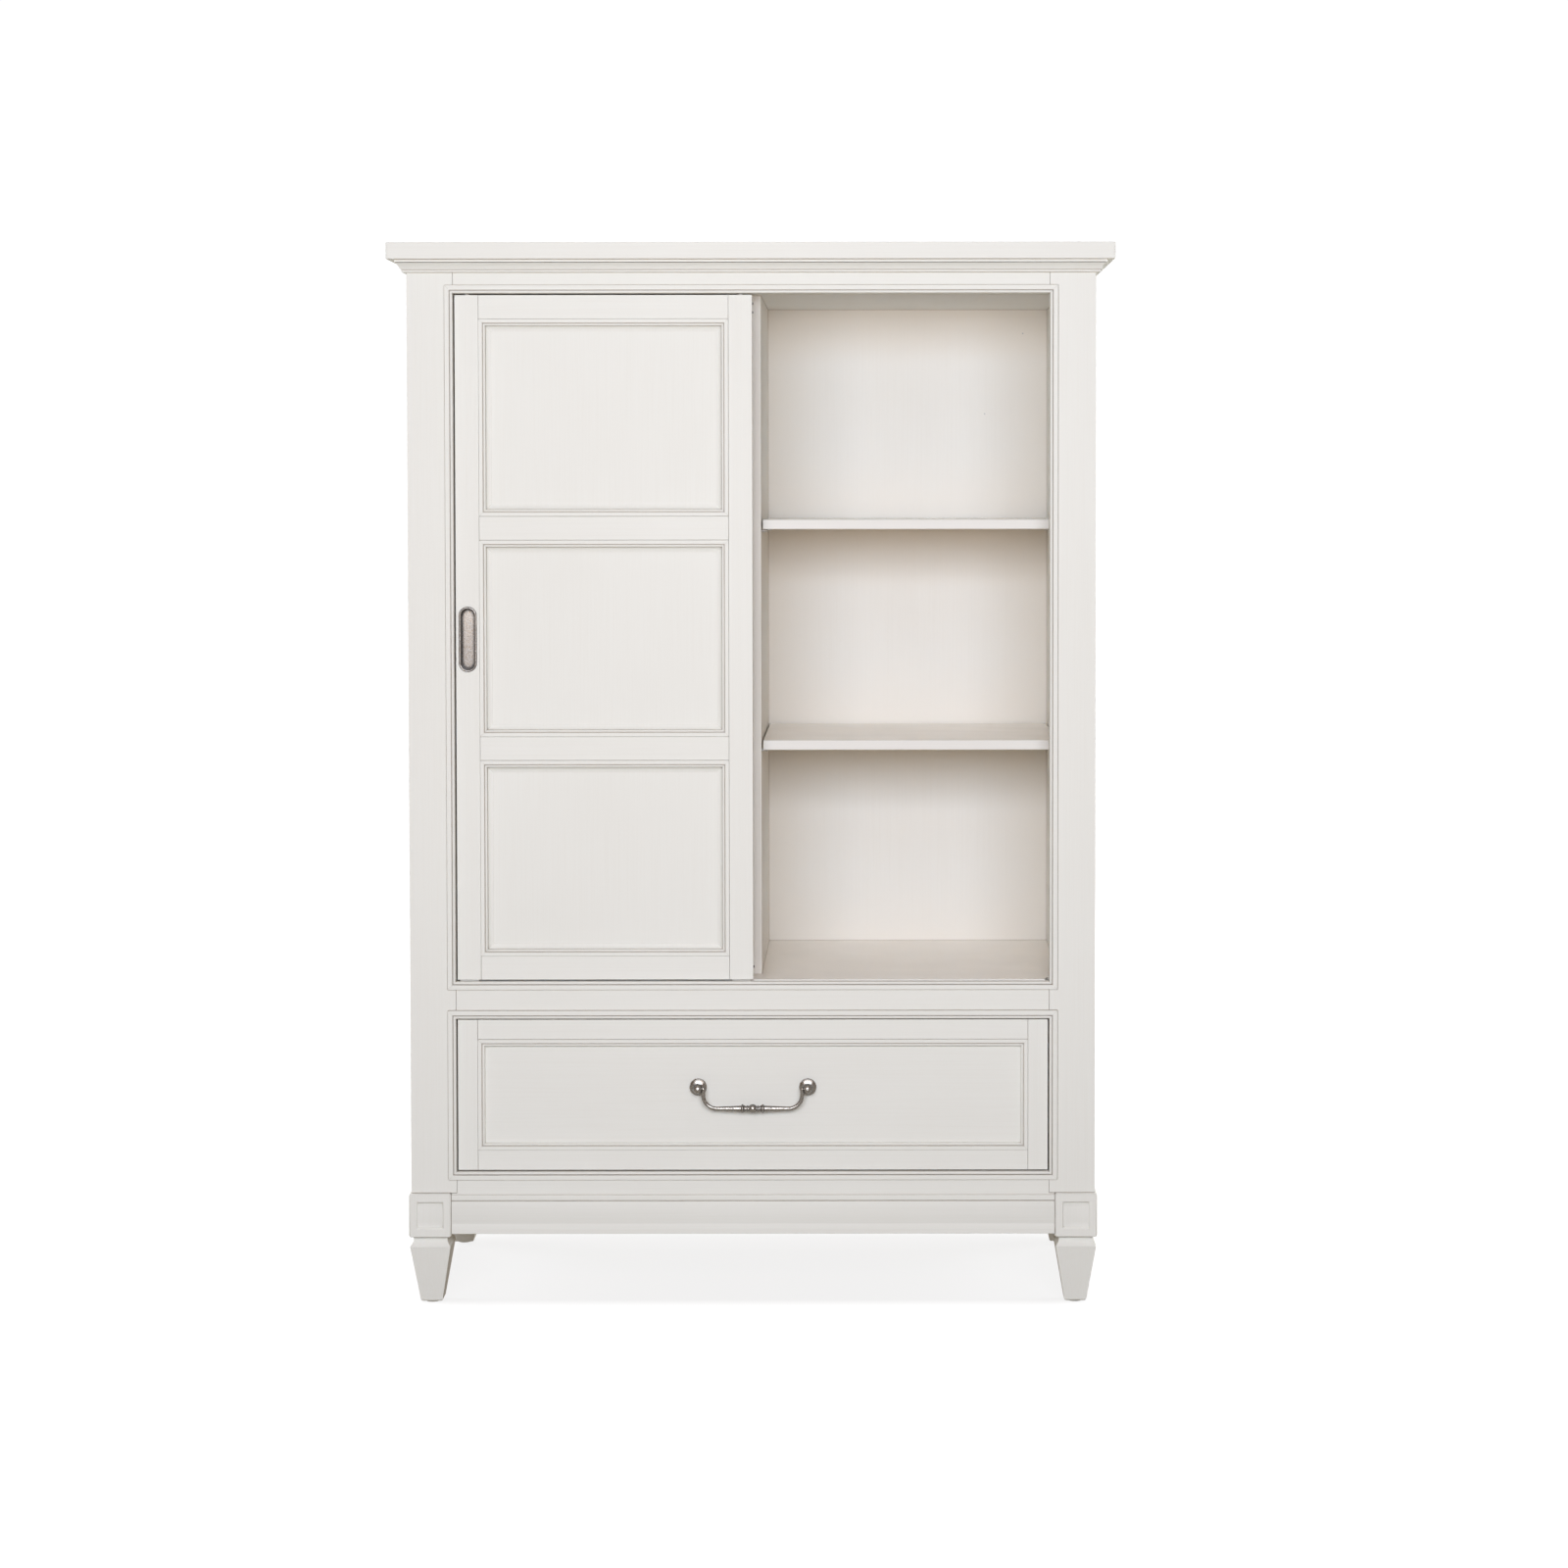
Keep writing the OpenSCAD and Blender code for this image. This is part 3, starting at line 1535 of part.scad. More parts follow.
top_panel();
crown_moulding();
front_post_left();
front_post_right();
rear_posts();
top_rail();
middle_rail();
bottom_rail();
back_rails();
side_rails();
side_panels();
side_linings();
back_panel();
ceiling_panel();
deck_panel();
centre_divider();
dust_panel();
door_opening_trim();
drawer_opening_trim();
base_blocks();
base_moulding();
feet();
foot_glides();
corner_braces();
shelf_left_low();
shelf_left_high();
shelf_right_low();
shelf_right_high();
shelf_pins();
top_track();
floor_guide();
slide_cleats();
slide_cabinet_members();
front_door_stiles();
front_door_rails();
front_door_panels();
front_door_moulding();
front_door_pull();
front_door_glides();
front_door_guides();
front_door_bumpers();
rear_door_stiles();
rear_door_rails();
rear_door_panels();
rear_door_moulding();
rear_door_pull();
rear_door_glides();
rear_door_guides();
drawer_stiles();
drawer_rails();
drawer_panel();
drawer_moulding();
drawer_box_front();
drawer_sides();
drawer_back();
drawer_bottom();
drawer_slide_members();
drawer_pull_posts();
slide_middle_members();
drawer_bail();
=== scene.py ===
"""Painted armoire with bypass sliding doors and one drawer: finishes, small fittings and studio."""

import math

import bpy
import numpy as np
from mathutils import Matrix, Vector


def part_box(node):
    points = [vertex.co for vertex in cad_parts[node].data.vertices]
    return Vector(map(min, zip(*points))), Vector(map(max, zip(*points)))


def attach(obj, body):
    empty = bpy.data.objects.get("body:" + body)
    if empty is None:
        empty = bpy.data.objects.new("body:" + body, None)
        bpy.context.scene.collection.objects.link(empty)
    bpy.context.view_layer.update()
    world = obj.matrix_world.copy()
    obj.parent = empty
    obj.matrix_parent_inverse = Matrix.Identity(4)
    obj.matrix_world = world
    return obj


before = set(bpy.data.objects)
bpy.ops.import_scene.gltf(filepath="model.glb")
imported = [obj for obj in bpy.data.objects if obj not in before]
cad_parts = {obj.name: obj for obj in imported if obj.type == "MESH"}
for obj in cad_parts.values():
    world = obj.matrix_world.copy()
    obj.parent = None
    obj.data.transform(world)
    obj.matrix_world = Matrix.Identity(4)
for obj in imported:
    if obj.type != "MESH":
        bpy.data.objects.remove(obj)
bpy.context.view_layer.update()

bl_info = {
    "name": "Painted Armoire",
    "version": (1, 0, 0),
    "blender": (4, 5, 0),
    "location": "View3D > Sidebar > Armoire",
    "description": "Dresses a painted sliding-door armoire and sets its studio",
    "category": "Object",
}

# ------------------------------------------------------------------ groups of like pieces

UPRIGHT_CASE = [
    "front_post_left", "front_post_right", "rear_posts", "side_panels", "base_blocks", "feet",
]
CROSSWISE_CASE = [
    "top_panel", "crown_moulding", "top_rail", "middle_rail", "bottom_rail", "back_rails",
    "base_moulding", "top_track", "door_opening_trim", "drawer_opening_trim",
]
CROSSWISE_INSIDE = ["ceiling_panel"]
UPRIGHT_INSIDE = ["centre_divider", "side_linings", "back_panel"]
SHELVES = [
    "deck_panel", "shelf_left_low", "shelf_left_high", "shelf_right_low", "shelf_right_high",
]
FORE_AFT_CASE = ["side_rails"]
UPRIGHT_DOORS = [
    "front_door_stiles", "front_door_panels", "front_door_moulding",
    "rear_door_stiles", "rear_door_panels", "rear_door_moulding",
]
CROSSWISE_DOORS = ["front_door_rails", "rear_door_rails"]
UPRIGHT_DRAWER = ["drawer_stiles"]
CROSSWISE_DRAWER = ["drawer_rails", "drawer_panel", "drawer_moulding"]
RAW_CROSSWISE = ["drawer_box_front", "drawer_back", "drawer_bottom", "corner_braces", "dust_panel"]
RAW_FORE_AFT = ["drawer_sides", "slide_cleats"]
FLUSH_PULLS = ["front_door_pull", "rear_door_pull"]
BAIL_PARTS = ["drawer_pull_posts", "drawer_bail"]
STEEL_PARTS = [
    "slide_cabinet_members", "slide_middle_members", "drawer_slide_members", "shelf_pins",
]
NYLON_PARTS = [
    "front_door_glides", "front_door_guides", "rear_door_glides", "rear_door_guides",
    "foot_glides", "floor_guide",
]
RUBBER_PARTS = ["front_door_bumpers"]


# ------------------------------------------------------------------ sizes and colours


class PaintSettings(bpy.types.PropertyGroup):
    colour: bpy.props.FloatVectorProperty(
        name="Paint", description="Colour of the satin paint", subtype="COLOR", size=3,
        min=0.0, max=1.0, default=(0.826, 0.831, 0.782),
    )
    # Painted bounce light: the inside paint is made warmer than the outer one, standing in for the
    # warm light that bounces around inside the case.
    inside_colour_with_painted_bounce: bpy.props.FloatVectorProperty(
        name="Inside paint", description="Colour of the paint inside the case, made warmer to paint in the light bouncing inside",
        subtype="COLOR", size=3, min=0.0, max=1.0, default=(0.851, 0.843, 0.800),
    )
    shelf_edge: bpy.props.FloatVectorProperty(
        name="Shelf edges", description="Colour of the lacquer on the edges of shelves",
        subtype="COLOR", size=3, min=0.0, max=1.0, default=(0.815, 0.805, 0.765),
    )
    # Painted shade: the darker brown of the faces below the shelves.
    painted_shade_under_shelves: bpy.props.FloatVectorProperty(
        name="Shelf undersides", description="Colour of the painted shade below the shelves",
        subtype="COLOR", size=3, min=0.0, max=1.0, default=(0.79, 0.67, 0.52),
    )
    # Painted light: the paler colour of the shelves' tops, where their lacquer is also harder.
    painted_light_on_shelf_tops: bpy.props.FloatVectorProperty(
        name="Shelf lacquer", description="Colour of the painted light on the lacquered tops of shelves",
        subtype="COLOR", size=3, min=0.0, max=1.0, default=(0.955, 0.92, 0.855),
    )
    glaze: bpy.props.FloatVectorProperty(
        name="Glaze", description="What the paint's colour is multiplied by in its streaks",
        subtype="COLOR", size=3, min=0.0, max=1.0, default=(0.935, 0.92, 0.90),
    )
    streaks: bpy.props.FloatProperty(
        name="Streaks", description="How much of the glaze shows in the grain", subtype="FACTOR",
        min=0.0, max=1.0, default=0.32,
    )
    # Painted shade: a brown darkening of the paint in quirks, joints and gaps, where shade falls.
    crevice_shade_colour: bpy.props.FloatVectorProperty(
        name="Crevice", description="Colour of the painted shade in quirks and joints",
        subtype="COLOR", size=3, min=0.0, max=1.0, default=(0.36, 0.29, 0.22),
    )
    crevice_shade_share: bpy.props.FloatProperty(
        name="Crevice share", description="Strength of the painted shade in quirks and joints",
        subtype="FACTOR", min=0.0, max=1.0, default=0.62,
    )
    crevice_shade_reach: bpy.props.FloatProperty(
        name="Crevice reach", description="Width of the quirks and joints that get painted shade",
        subtype="DISTANCE", unit="LENGTH", min=0.0, max=0.02, default=0.0035,
    )
    # Painted shade: a warmer, darker tint of the inside paint towards inside corners.
    corner_shade_tint: bpy.props.FloatVectorProperty(
        name="Corner shade tint", description="What the inside paint is multiplied by in its corners",
        subtype="COLOR", size=3, min=0.0, max=1.0, default=(1.0, 0.968, 0.937),
    )
    corner_shade_reach: bpy.props.FloatProperty(
        name="Corner reach", description="How far the warm painted shade spreads from inside corners",
        subtype="DISTANCE", unit="LENGTH", min=0.0, max=0.4, default=0.13,
    )
    roughness: bpy.props.FloatProperty(
        name="Roughness", description="Roughness of the satin paint", subtype="FACTOR",
        min=0.0, max=1.0, default=0.58,
    )
    shelf_roughness: bpy.props.FloatProperty(
        name="Shelf roughness", description="Roughness of the harder lacquer on the shelves",
        subtype="FACTOR", min=0.0, max=1.0, default=0.24,
    )
    grain_relief: bpy.props.FloatProperty(
        name="Grain relief", description="Depth of the wood grain that shows through the paint",
        subtype="DISTANCE", unit="LENGTH", min=0.0, max=0.001, default=0.00006,
    )
    edge_radius: bpy.props.FloatProperty(
        name="Edge radius", description="Radius that sanding leaves on a board's edges",
        subtype="DISTANCE", unit="LENGTH", min=0.0, max=0.002, default=0.0005,
    )


class WoodSettings(bpy.types.PropertyGroup):
    light: bpy.props.FloatVectorProperty(
        name="Early wood", description="Colour of the pale part of the grain", subtype="COLOR",
        size=3, min=0.0, max=1.0, default=(0.62, 0.47, 0.31),
    )
    dark: bpy.props.FloatVectorProperty(
        name="Late wood", description="Colour of the dark part of the grain", subtype="COLOR",
        size=3, min=0.0, max=1.0, default=(0.44, 0.30, 0.175),
    )
    roughness: bpy.props.FloatProperty(
        name="Roughness", description="Roughness of the clear-coated wood", subtype="FACTOR",
        min=0.0, max=1.0, default=0.5,
    )


class MetalSettings(bpy.types.PropertyGroup):
    nickel: bpy.props.FloatVectorProperty(
        name="Nickel", description="Colour of the rubbed antique nickel", subtype="COLOR",
        size=3, min=0.0, max=1.0, default=(0.49, 0.465, 0.425),
    )
    patina: bpy.props.FloatVectorProperty(
        name="Patina", description="Colour of the dark patina between rubbed places",
        subtype="COLOR", size=3, min=0.0, max=1.0, default=(0.085, 0.077, 0.073),
    )
    # Patina and painted shade: the nearly black ring in the corners of the cups.
    deep_patina_and_shade: bpy.props.FloatVectorProperty(
        name="Deep patina and shade", description="Colour of the nearly black patina in corners, also painted shade",
        subtype="COLOR", size=3, min=0.0, max=1.0, default=(0.022, 0.018, 0.015),
    )
    cup_patina: bpy.props.FloatProperty(
        name="Patina in the cups", description="Least share of patina left on the flush pulls",
        subtype="FACTOR", min=0.0, max=1.0, default=0.44,
    )
    zinc: bpy.props.FloatVectorProperty(
        name="Zinc plate", description="Colour of the plated slides and pins", subtype="COLOR",
        size=3, min=0.0, max=1.0, default=(0.62, 0.63, 0.64),
    )
    roughness: bpy.props.FloatProperty(
        name="Roughness", description="Roughness of the rubbed nickel", subtype="FACTOR",
        min=0.0, max=1.0, default=0.22,
    )


class SmallPartSettings(bpy.types.PropertyGroup):
    nylon: bpy.props.FloatVectorProperty(
        name="Nylon", description="Colour of the glides and guides", subtype="COLOR",
        size=3, min=0.0, max=1.0, default=(0.72, 0.71, 0.67),
    )
    rubber: bpy.props.FloatVectorProperty(
        name="Rubber", description="Colour of the door bumpers", subtype="COLOR",
        size=3, min=0.0, max=1.0, default=(0.16, 0.15, 0.14),
    )
    nail_head: bpy.props.FloatProperty(
        name="Nail head", description="Radius of the brads' heads in the back panel",
        subtype="DISTANCE", unit="LENGTH", min=0.0005, max=0.004, default=0.0013,
    )


class StudioSettings(bpy.types.PropertyGroup):
    lens: bpy.props.FloatProperty(
        name="Lens", description="Focal length of the camera", subtype="DISTANCE_CAMERA",
        unit="CAMERA", min=20.0, max=200.0, default=69.08,
    )
    eye: bpy.props.FloatVectorProperty(
        name="Camera place", description="Where the camera stands", subtype="TRANSLATION",
        unit="LENGTH", size=3, default=(0.1786, -5.0645, 1.3102),
    )
    tilt_down: bpy.props.FloatProperty(
        name="Tilt down", description="How far the camera looks below the horizon",
        subtype="ANGLE", unit="ROTATION", default=math.radians(1.78),
    )
    roll: bpy.props.FloatProperty(
        name="Roll", description="How far the camera leans", subtype="ANGLE", unit="ROTATION",
        default=math.radians(-0.05),
    )
    shift_x: bpy.props.FloatProperty(
        name="Shift X", description="Sideways shift of the picture", default=-0.0501,
    )
    shift_y: bpy.props.FloatProperty(
        name="Shift Y", description="Upward shift of the picture", default=-0.12295,
    )
    room: bpy.props.FloatProperty(
        name="Room light", description="Brightness of the white room on the object",
        min=0.0, max=4.0, default=0.16,
    )
    key: bpy.props.FloatProperty(
        name="Key light", description="Power of the large soft light in front",
        subtype="POWER", unit="POWER", min=0.0, default=128.0,
    )
    high: bpy.props.FloatProperty(
        name="High key light", description="Power of the light high in front", subtype="POWER",
        unit="POWER", min=0.0, default=9.0,
    )
    fill: bpy.props.FloatProperty(
        name="Fill light", description="Power of the warm light near the front", subtype="POWER",
        unit="POWER", min=0.0, default=31.0,
    )
    top: bpy.props.FloatProperty(
        name="Top light", description="Power of the soft light above", subtype="POWER",
        unit="POWER", min=0.0, default=7.0,
    )
    overhead: bpy.props.FloatProperty(
        name="Overhead light", description="Power of the narrow light straight above the top",
        subtype="POWER", unit="POWER", min=0.0, default=24.0,
    )
    side: bpy.props.FloatProperty(
        name="Side light", description="Power of each soft light beside the object",
        subtype="POWER", unit="POWER", min=0.0, default=108.0,
    )
    back: bpy.props.FloatProperty(
        name="Back light", description="Power of the soft light behind", subtype="POWER",
        unit="POWER", min=0.0, default=98.0,
    )
    # Painted shadow: the seen floor glows only this bright under the feet, and fades to white
    # around them.
    painted_shadow_glow: bpy.props.FloatProperty(
        name="Painted shadow glow", description="Brightness of the painted pale shadow on the floor under the object",
        min=0.0, max=2.0, default=0.81,
    )
    shadow_reach: bpy.props.FloatProperty(
        name="Shadow reach", description="Width of the rim where the feet's pale shadow fades out",
        subtype="DISTANCE", unit="LENGTH", min=0.0, max=0.4, default=0.06,
    )
    bounce: bpy.props.FloatProperty(
        name="Floor bounce", description="Warm light that the floor sends up at the object",
        min=0.0, max=2.0, default=0.24,
    )


# ------------------------------------------------------------------ fixed values of the finishes
#
# A SCALE is a pattern's repeats per metre, along the grain and across it or for each axis.
# LEVELS are the values of its noise between which it grows from nothing to its full SHARE.
# UNEVEN is what it takes from the roughness, and what it adds. DEPTH is a relief's depth in
# metres, and RELIEF its strength. OPENNESS is how open a hollow is where the painted shade in
# it is full, and where that ends. FACING is how far a face looks along an axis, from 0 to 1.

MIDDLE_LEVELS = (0.3, 0.7)

# Paint and lacquer
STREAK_SCALE, STREAK_LEVELS = (5.0, 420.0), (0.42, 0.78)
PORE_SCALE, PORE_LEVELS, PORE_SHARE = (26.0, 900.0), (0.62, 0.8), 0.10
CLOUD_SCALE, CLOUD_LEVELS, CLOUD_SHARE = (3.1, 3.1, 2.3), (0.35, 0.75), 0.22
PEEL_SCALE, PEEL_SHARE = (340.0, 340.0, 340.0), 0.5
PAINT_UNEVEN, PAINT_RELIEF = (-0.04, 0.05), 0.55
PAINT_GLOSS, INSIDE_GLOSS, LACQUER_GLOSS = 0.2, 0.25, 0.45

# Painted shade in quirks, inside corners and gap edges; painted light and shade on level shelves
HOLLOW_SAMPLES = 12
QUIRK_OPENNESS, CORNER_OPENNESS = (0.25, 0.90), (0.5, 1.0)
EDGE_FACING = (0.2, 0.6)  # forward or back, where painted shade on an edge is full, and where it ends
GAP_REACH = 2.0  # width of a gap that gets painted shade on an edge, in reaches of the quirks' painted shade
LEVEL_FACING = (0.80, 0.98)  # up, where a level face's painted light starts and is full; the same down, for painted shade

# Clear-coated wood
BAND_SCALE, BAND_LEVELS, BAND_SHARE = (1.6, 38.0), (0.35, 0.7), 0.75
FIBRE_SCALE, FIBRE_LEVELS, FIBRE_SHARE = (14.0, 700.0), (0.4, 0.8), 0.4
WOOD_UNEVEN, WOOD_DEPTH, WOOD_RELIEF = (-0.06, 0.1), 0.00012, 0.6

# Antique nickel
PATCH_SCALE, PATCH_LEVELS, PATCH_SHARE = (240.0, 240.0, 240.0), (0.38, 0.72), 0.4
PATCH_UNEVEN, PATCH_GLOSS_LEVELS = (-0.04, 0.12), (0.35, 0.7)
SCRATCH_SCALE, SCRATCH_UNEVEN = (1800.0, 1800.0, 260.0), (-0.03, 0.05)
NICKEL_DEPTH, NICKEL_RELIEF = 0.00005, 0.5
NICKEL_CORNER_REACH, NICKEL_CORNER_OPENNESS = 0.008, (0.55, 0.86)
RUBBED_FACING = (0.45, 0.85)  # forward or back, where the rubbing starts, and is full
SIDEWAYS_PATINA_AND_SHADE = 0.95  # share of patina and painted shade on faces that look sideways
PATINA_METALLIC = 0.15  # how much of a metal full patina still is

# Zinc plate
ROLLING_SCALE, SPANGLE_SCALE = (900.0, 9.0, 900.0), (60.0, 60.0, 60.0)
SPANGLE_LEVELS, SPANGLE_DARKNESS = (0.35, 0.7), 0.82
ZINC_ROUGHNESS, ZINC_DEPTH, ZINC_RELIEF = (0.26, 0.42), 0.00004, 0.4

# Nylon and rubber
SKIN_SCALE, TINT_SCALE = (1400.0, 1400.0, 1400.0), (45.0, 45.0, 45.0)
TINT_LEVELS, TINT_DARKNESS = (0.35, 0.7), 0.9
SKIN_UNEVEN, SKIN_DEPTH, SKIN_RELIEF = (-0.05, 0.07), 0.00003, 0.5
NYLON_ROUGHNESS, RUBBER_ROUGHNESS = 0.45, 0.65

# Eased edges: how close corners are joined, in metres, how flat a flat face is, and how sharp
# an edge has to be before it is rolled
JOINED_WITHIN = 0.00001
FLAT_WITHIN, SHARP_FROM = math.radians(0.4), math.radians(35.0)

# Brads
BRAD_PLACES = ((0.059, 0.042), (0.126, 0.183))  # in from the right lining, down from the ceiling
BRAD_RISE = 0.3  # height of a head, as a share of its radius


# ------------------------------------------------------------------ fixed values of the studio

WHITE, COOL = (1.0, 1.0, 1.0), (0.65, 0.80, 1.0)
WARM, PALE = (1.0, 0.76, 0.58), (0.93, 0.96, 1.0)
ROOM_TINT, BOUNCE_TINT = (1.0, 0.68, 0.45), (1.0, 0.92, 0.80)
SOFT_LIGHTS = [
    # name, place, what it looks at, width and height, setting that holds its power, colour
    ("Key", (0.0, -4.6, 1.9), (0.0, 0.0, 0.9), (3.4, 1.2), "key", COOL),
    ("High key", (0.0, -4.0, 3.4), (0.0, 0.0, 1.0), (3.4, 1.0), "high", COOL),
    ("Fill", (0.0, -3.0, 1.5), (0.0, 0.0, 1.3), (2.4, 1.0), "fill", WARM),
    ("Top", (0.0, -1.6, 4.0), (0.0, 0.0, 0.6), (3.0, 2.0), "top", WHITE),
    ("Overhead", (0.0, 0.5, 3.7), (0.0, 0.5, 0.0), (3.0, 0.8), "overhead", WHITE),
    ("Side", (-4.0, 1.2, 1.6), (0.0, 0.1, 0.9), (2.4, 1.8), "side", PALE),
    ("Side", (4.0, 1.2, 1.6), (0.0, 0.1, 0.9), (2.4, 1.8), "side", PALE),
    ("Back", (0.0, 4.6, 2.0), (0.0, 0.0, 0.9), (3.4, 1.8), "back", WHITE),
]
SURE_WHITE = 1.05  # brightness that is sure to come out pure white
FLOOR_HALF = 30.0  # half the width of the floor, in metres
SEEN_FLOOR_GREY, FELT_FLOOR_GREY = 0.15, 0.3
FELT_FLOOR_HEIGHT = -0.001  # just below the floor that is seen
SENSOR_WIDTH = 36.0  # of the camera, in millimetres


# ------------------------------------------------------------------ node helpers

MIX_FIRST, MIX_SECOND, MIX_RESULT = 6, 7, 2  # a Mix node's sockets for colours


def new_material(name):
    """An empty node material with its Principled shader and output joined."""
    material = bpy.data.materials.new(name)
    material.use_nodes = True
    tree = material.node_tree
    tree.nodes.clear()
    shader = tree.nodes.new("ShaderNodeBsdfPrincipled")
    output = tree.nodes.new("ShaderNodeOutputMaterial")
    tree.links.new(shader.outputs["BSDF"], output.inputs["Surface"])
    return material, tree, shader


def stretched_noise(tree, scale, detail=3.0, roughness=0.55, distortion=0.0):
    """Noise on Object coordinates, stretched by a scale for each axis: its 0 to 1 socket."""
    place = tree.nodes.new("ShaderNodeTexCoord")
    mapping = tree.nodes.new("ShaderNodeMapping")
    mapping.inputs["Scale"].default_value = scale
    noise = tree.nodes.new("ShaderNodeTexNoise")
    noise.inputs["Scale"].default_value = 1.0
    noise.inputs["Detail"].default_value = detail
    noise.inputs["Roughness"].default_value = roughness
    noise.inputs["Distortion"].default_value = distortion
    tree.links.new(place.outputs["Object"], mapping.inputs["Vector"])
    tree.links.new(mapping.outputs["Vector"], noise.inputs["Vector"])
    return noise.outputs["Fac"]


def remap(tree, value, low, high, to_low=0.0, to_high=1.0):
    """Straight-line change of a socket from low..high to to_low..to_high, held at both ends."""
    node = tree.nodes.new("ShaderNodeMapRange")
    node.inputs["From Min"].default_value = low
    node.inputs["From Max"].default_value = high
    node.inputs["To Min"].default_value = to_low
    node.inputs["To Max"].default_value = to_high
    tree.links.new(value, node.inputs["Value"])
    return node.outputs["Result"]


def uneven(tree, pattern, middle, change, levels=MIDDLE_LEVELS):
    """A value that a pattern takes from middle + change[0] to middle + change[1]."""
    less, more = change
    return remap(tree, pattern, *levels, middle + less, middle + more)


def maths(tree, operation, first, second=0.0):
    """One arithmetic step; each input is a socket or a number."""
    node = tree.nodes.new("ShaderNodeMath")
    node.operation = operation
    for slot, value in zip(node.inputs, (first, second)):
        if isinstance(value, (int, float)):
            slot.default_value = value
        else:
            tree.links.new(value, slot)
    return node.outputs["Value"]


def tinted(colour, tint):
    """A colour multiplied by a tint, channel by channel."""
    return tuple(c * t for c, t in zip(colour, tint))


def blend_colours(tree, share, first, second):
    """Mix of two colours, or of a socket and a colour, by a share socket."""
    node = tree.nodes.new("ShaderNodeMix")
    node.data_type = "RGBA"
    tree.links.new(share, node.inputs["Factor"])
    for slot, value in ((node.inputs[MIX_FIRST], first), (node.inputs[MIX_SECOND], second)):
        if isinstance(value, bpy.types.NodeSocket):
            tree.links.new(value, slot)
        else:
            slot.default_value = (*value, 1.0)
    return node.outputs[MIX_RESULT]


def add_relief(tree, shader, height, depth, strength):
    """Bump of the given depth in metres from a 0 to 1 height socket."""
    bump = tree.nodes.new("ShaderNodeBump")
    bump.inputs["Strength"].default_value = strength
    bump.inputs["Distance"].default_value = depth
    tree.links.new(height, bump.inputs["Height"])
    tree.links.new(bump.outputs["Normal"], shader.inputs["Normal"])


def painted_crevice_shade(tree, reach, own_only, openness=QUIRK_OPENNESS):
    """Share of painted shade in hollows narrower than a reach, where little light gets in: 1 deep
    in a quirk, 0 on open faces. A moving piece counts only its own faces, so that its neighbours
    leave no mark on it."""
    hollow = tree.nodes.new("ShaderNodeAmbientOcclusion")
    hollow.samples = HOLLOW_SAMPLES
    hollow.only_local = own_only
    hollow.inputs["Distance"].default_value = reach
    return remap(tree, hollow.outputs["AO"], *openness, 1.0, 0.0)


def looking(tree, axis):
    """How far a face looks along an axis, from -1 to 1."""
    shape = tree.nodes.new("ShaderNodeNewGeometry")
    parts = tree.nodes.new("ShaderNodeSeparateXYZ")
    tree.links.new(shape.outputs["Normal"], parts.inputs["Vector"])
    return parts.outputs[axis]


def along(axis, lengthwise, crosswise):
    """Scale vector with one value along the grain's axis and another across it."""
    return tuple(lengthwise if i == "XYZ".index(axis) else crosswise for i in range(3))


# ------------------------------------------------------------------ finishes


def painted_gap_shade(tree, settings):
    """Share of painted shade on a moving piece's edges, where they stand in a gap: the part of a
    face that doesn't look forward or back, times how narrow the gap beside it is."""
    facing = maths(tree, "ABSOLUTE", looking(tree, "Y"))
    edges = remap(tree, facing, *EDGE_FACING, 1.0, 0.0)
    gaps = painted_crevice_shade(tree, GAP_REACH * settings.crevice_shade_reach, False)
    return maths(tree, "MULTIPLY", edges, gaps)


def lacquer(tree, settings, colour, roughness):
    """Colour and roughness of a shelf: painted shade in a darker brown where a face looks down,
    painted light in a paler colour with harder and smoother lacquer where it looks up, and the
    given ones on its edges."""
    start, full = LEVEL_FACING
    tilt = looking(tree, "Z")
    below = remap(tree, tilt, -start, -full)
    above = remap(tree, tilt, start, full)
    colour = blend_colours(tree, below, colour, settings.painted_shade_under_shelves)
    colour = blend_colours(tree, above, colour, settings.painted_light_on_shelf_tops)
    smoother = maths(tree, "MULTIPLY", above, settings.shelf_roughness - settings.roughness)
    return colour, maths(tree, "ADD", roughness, smoother)


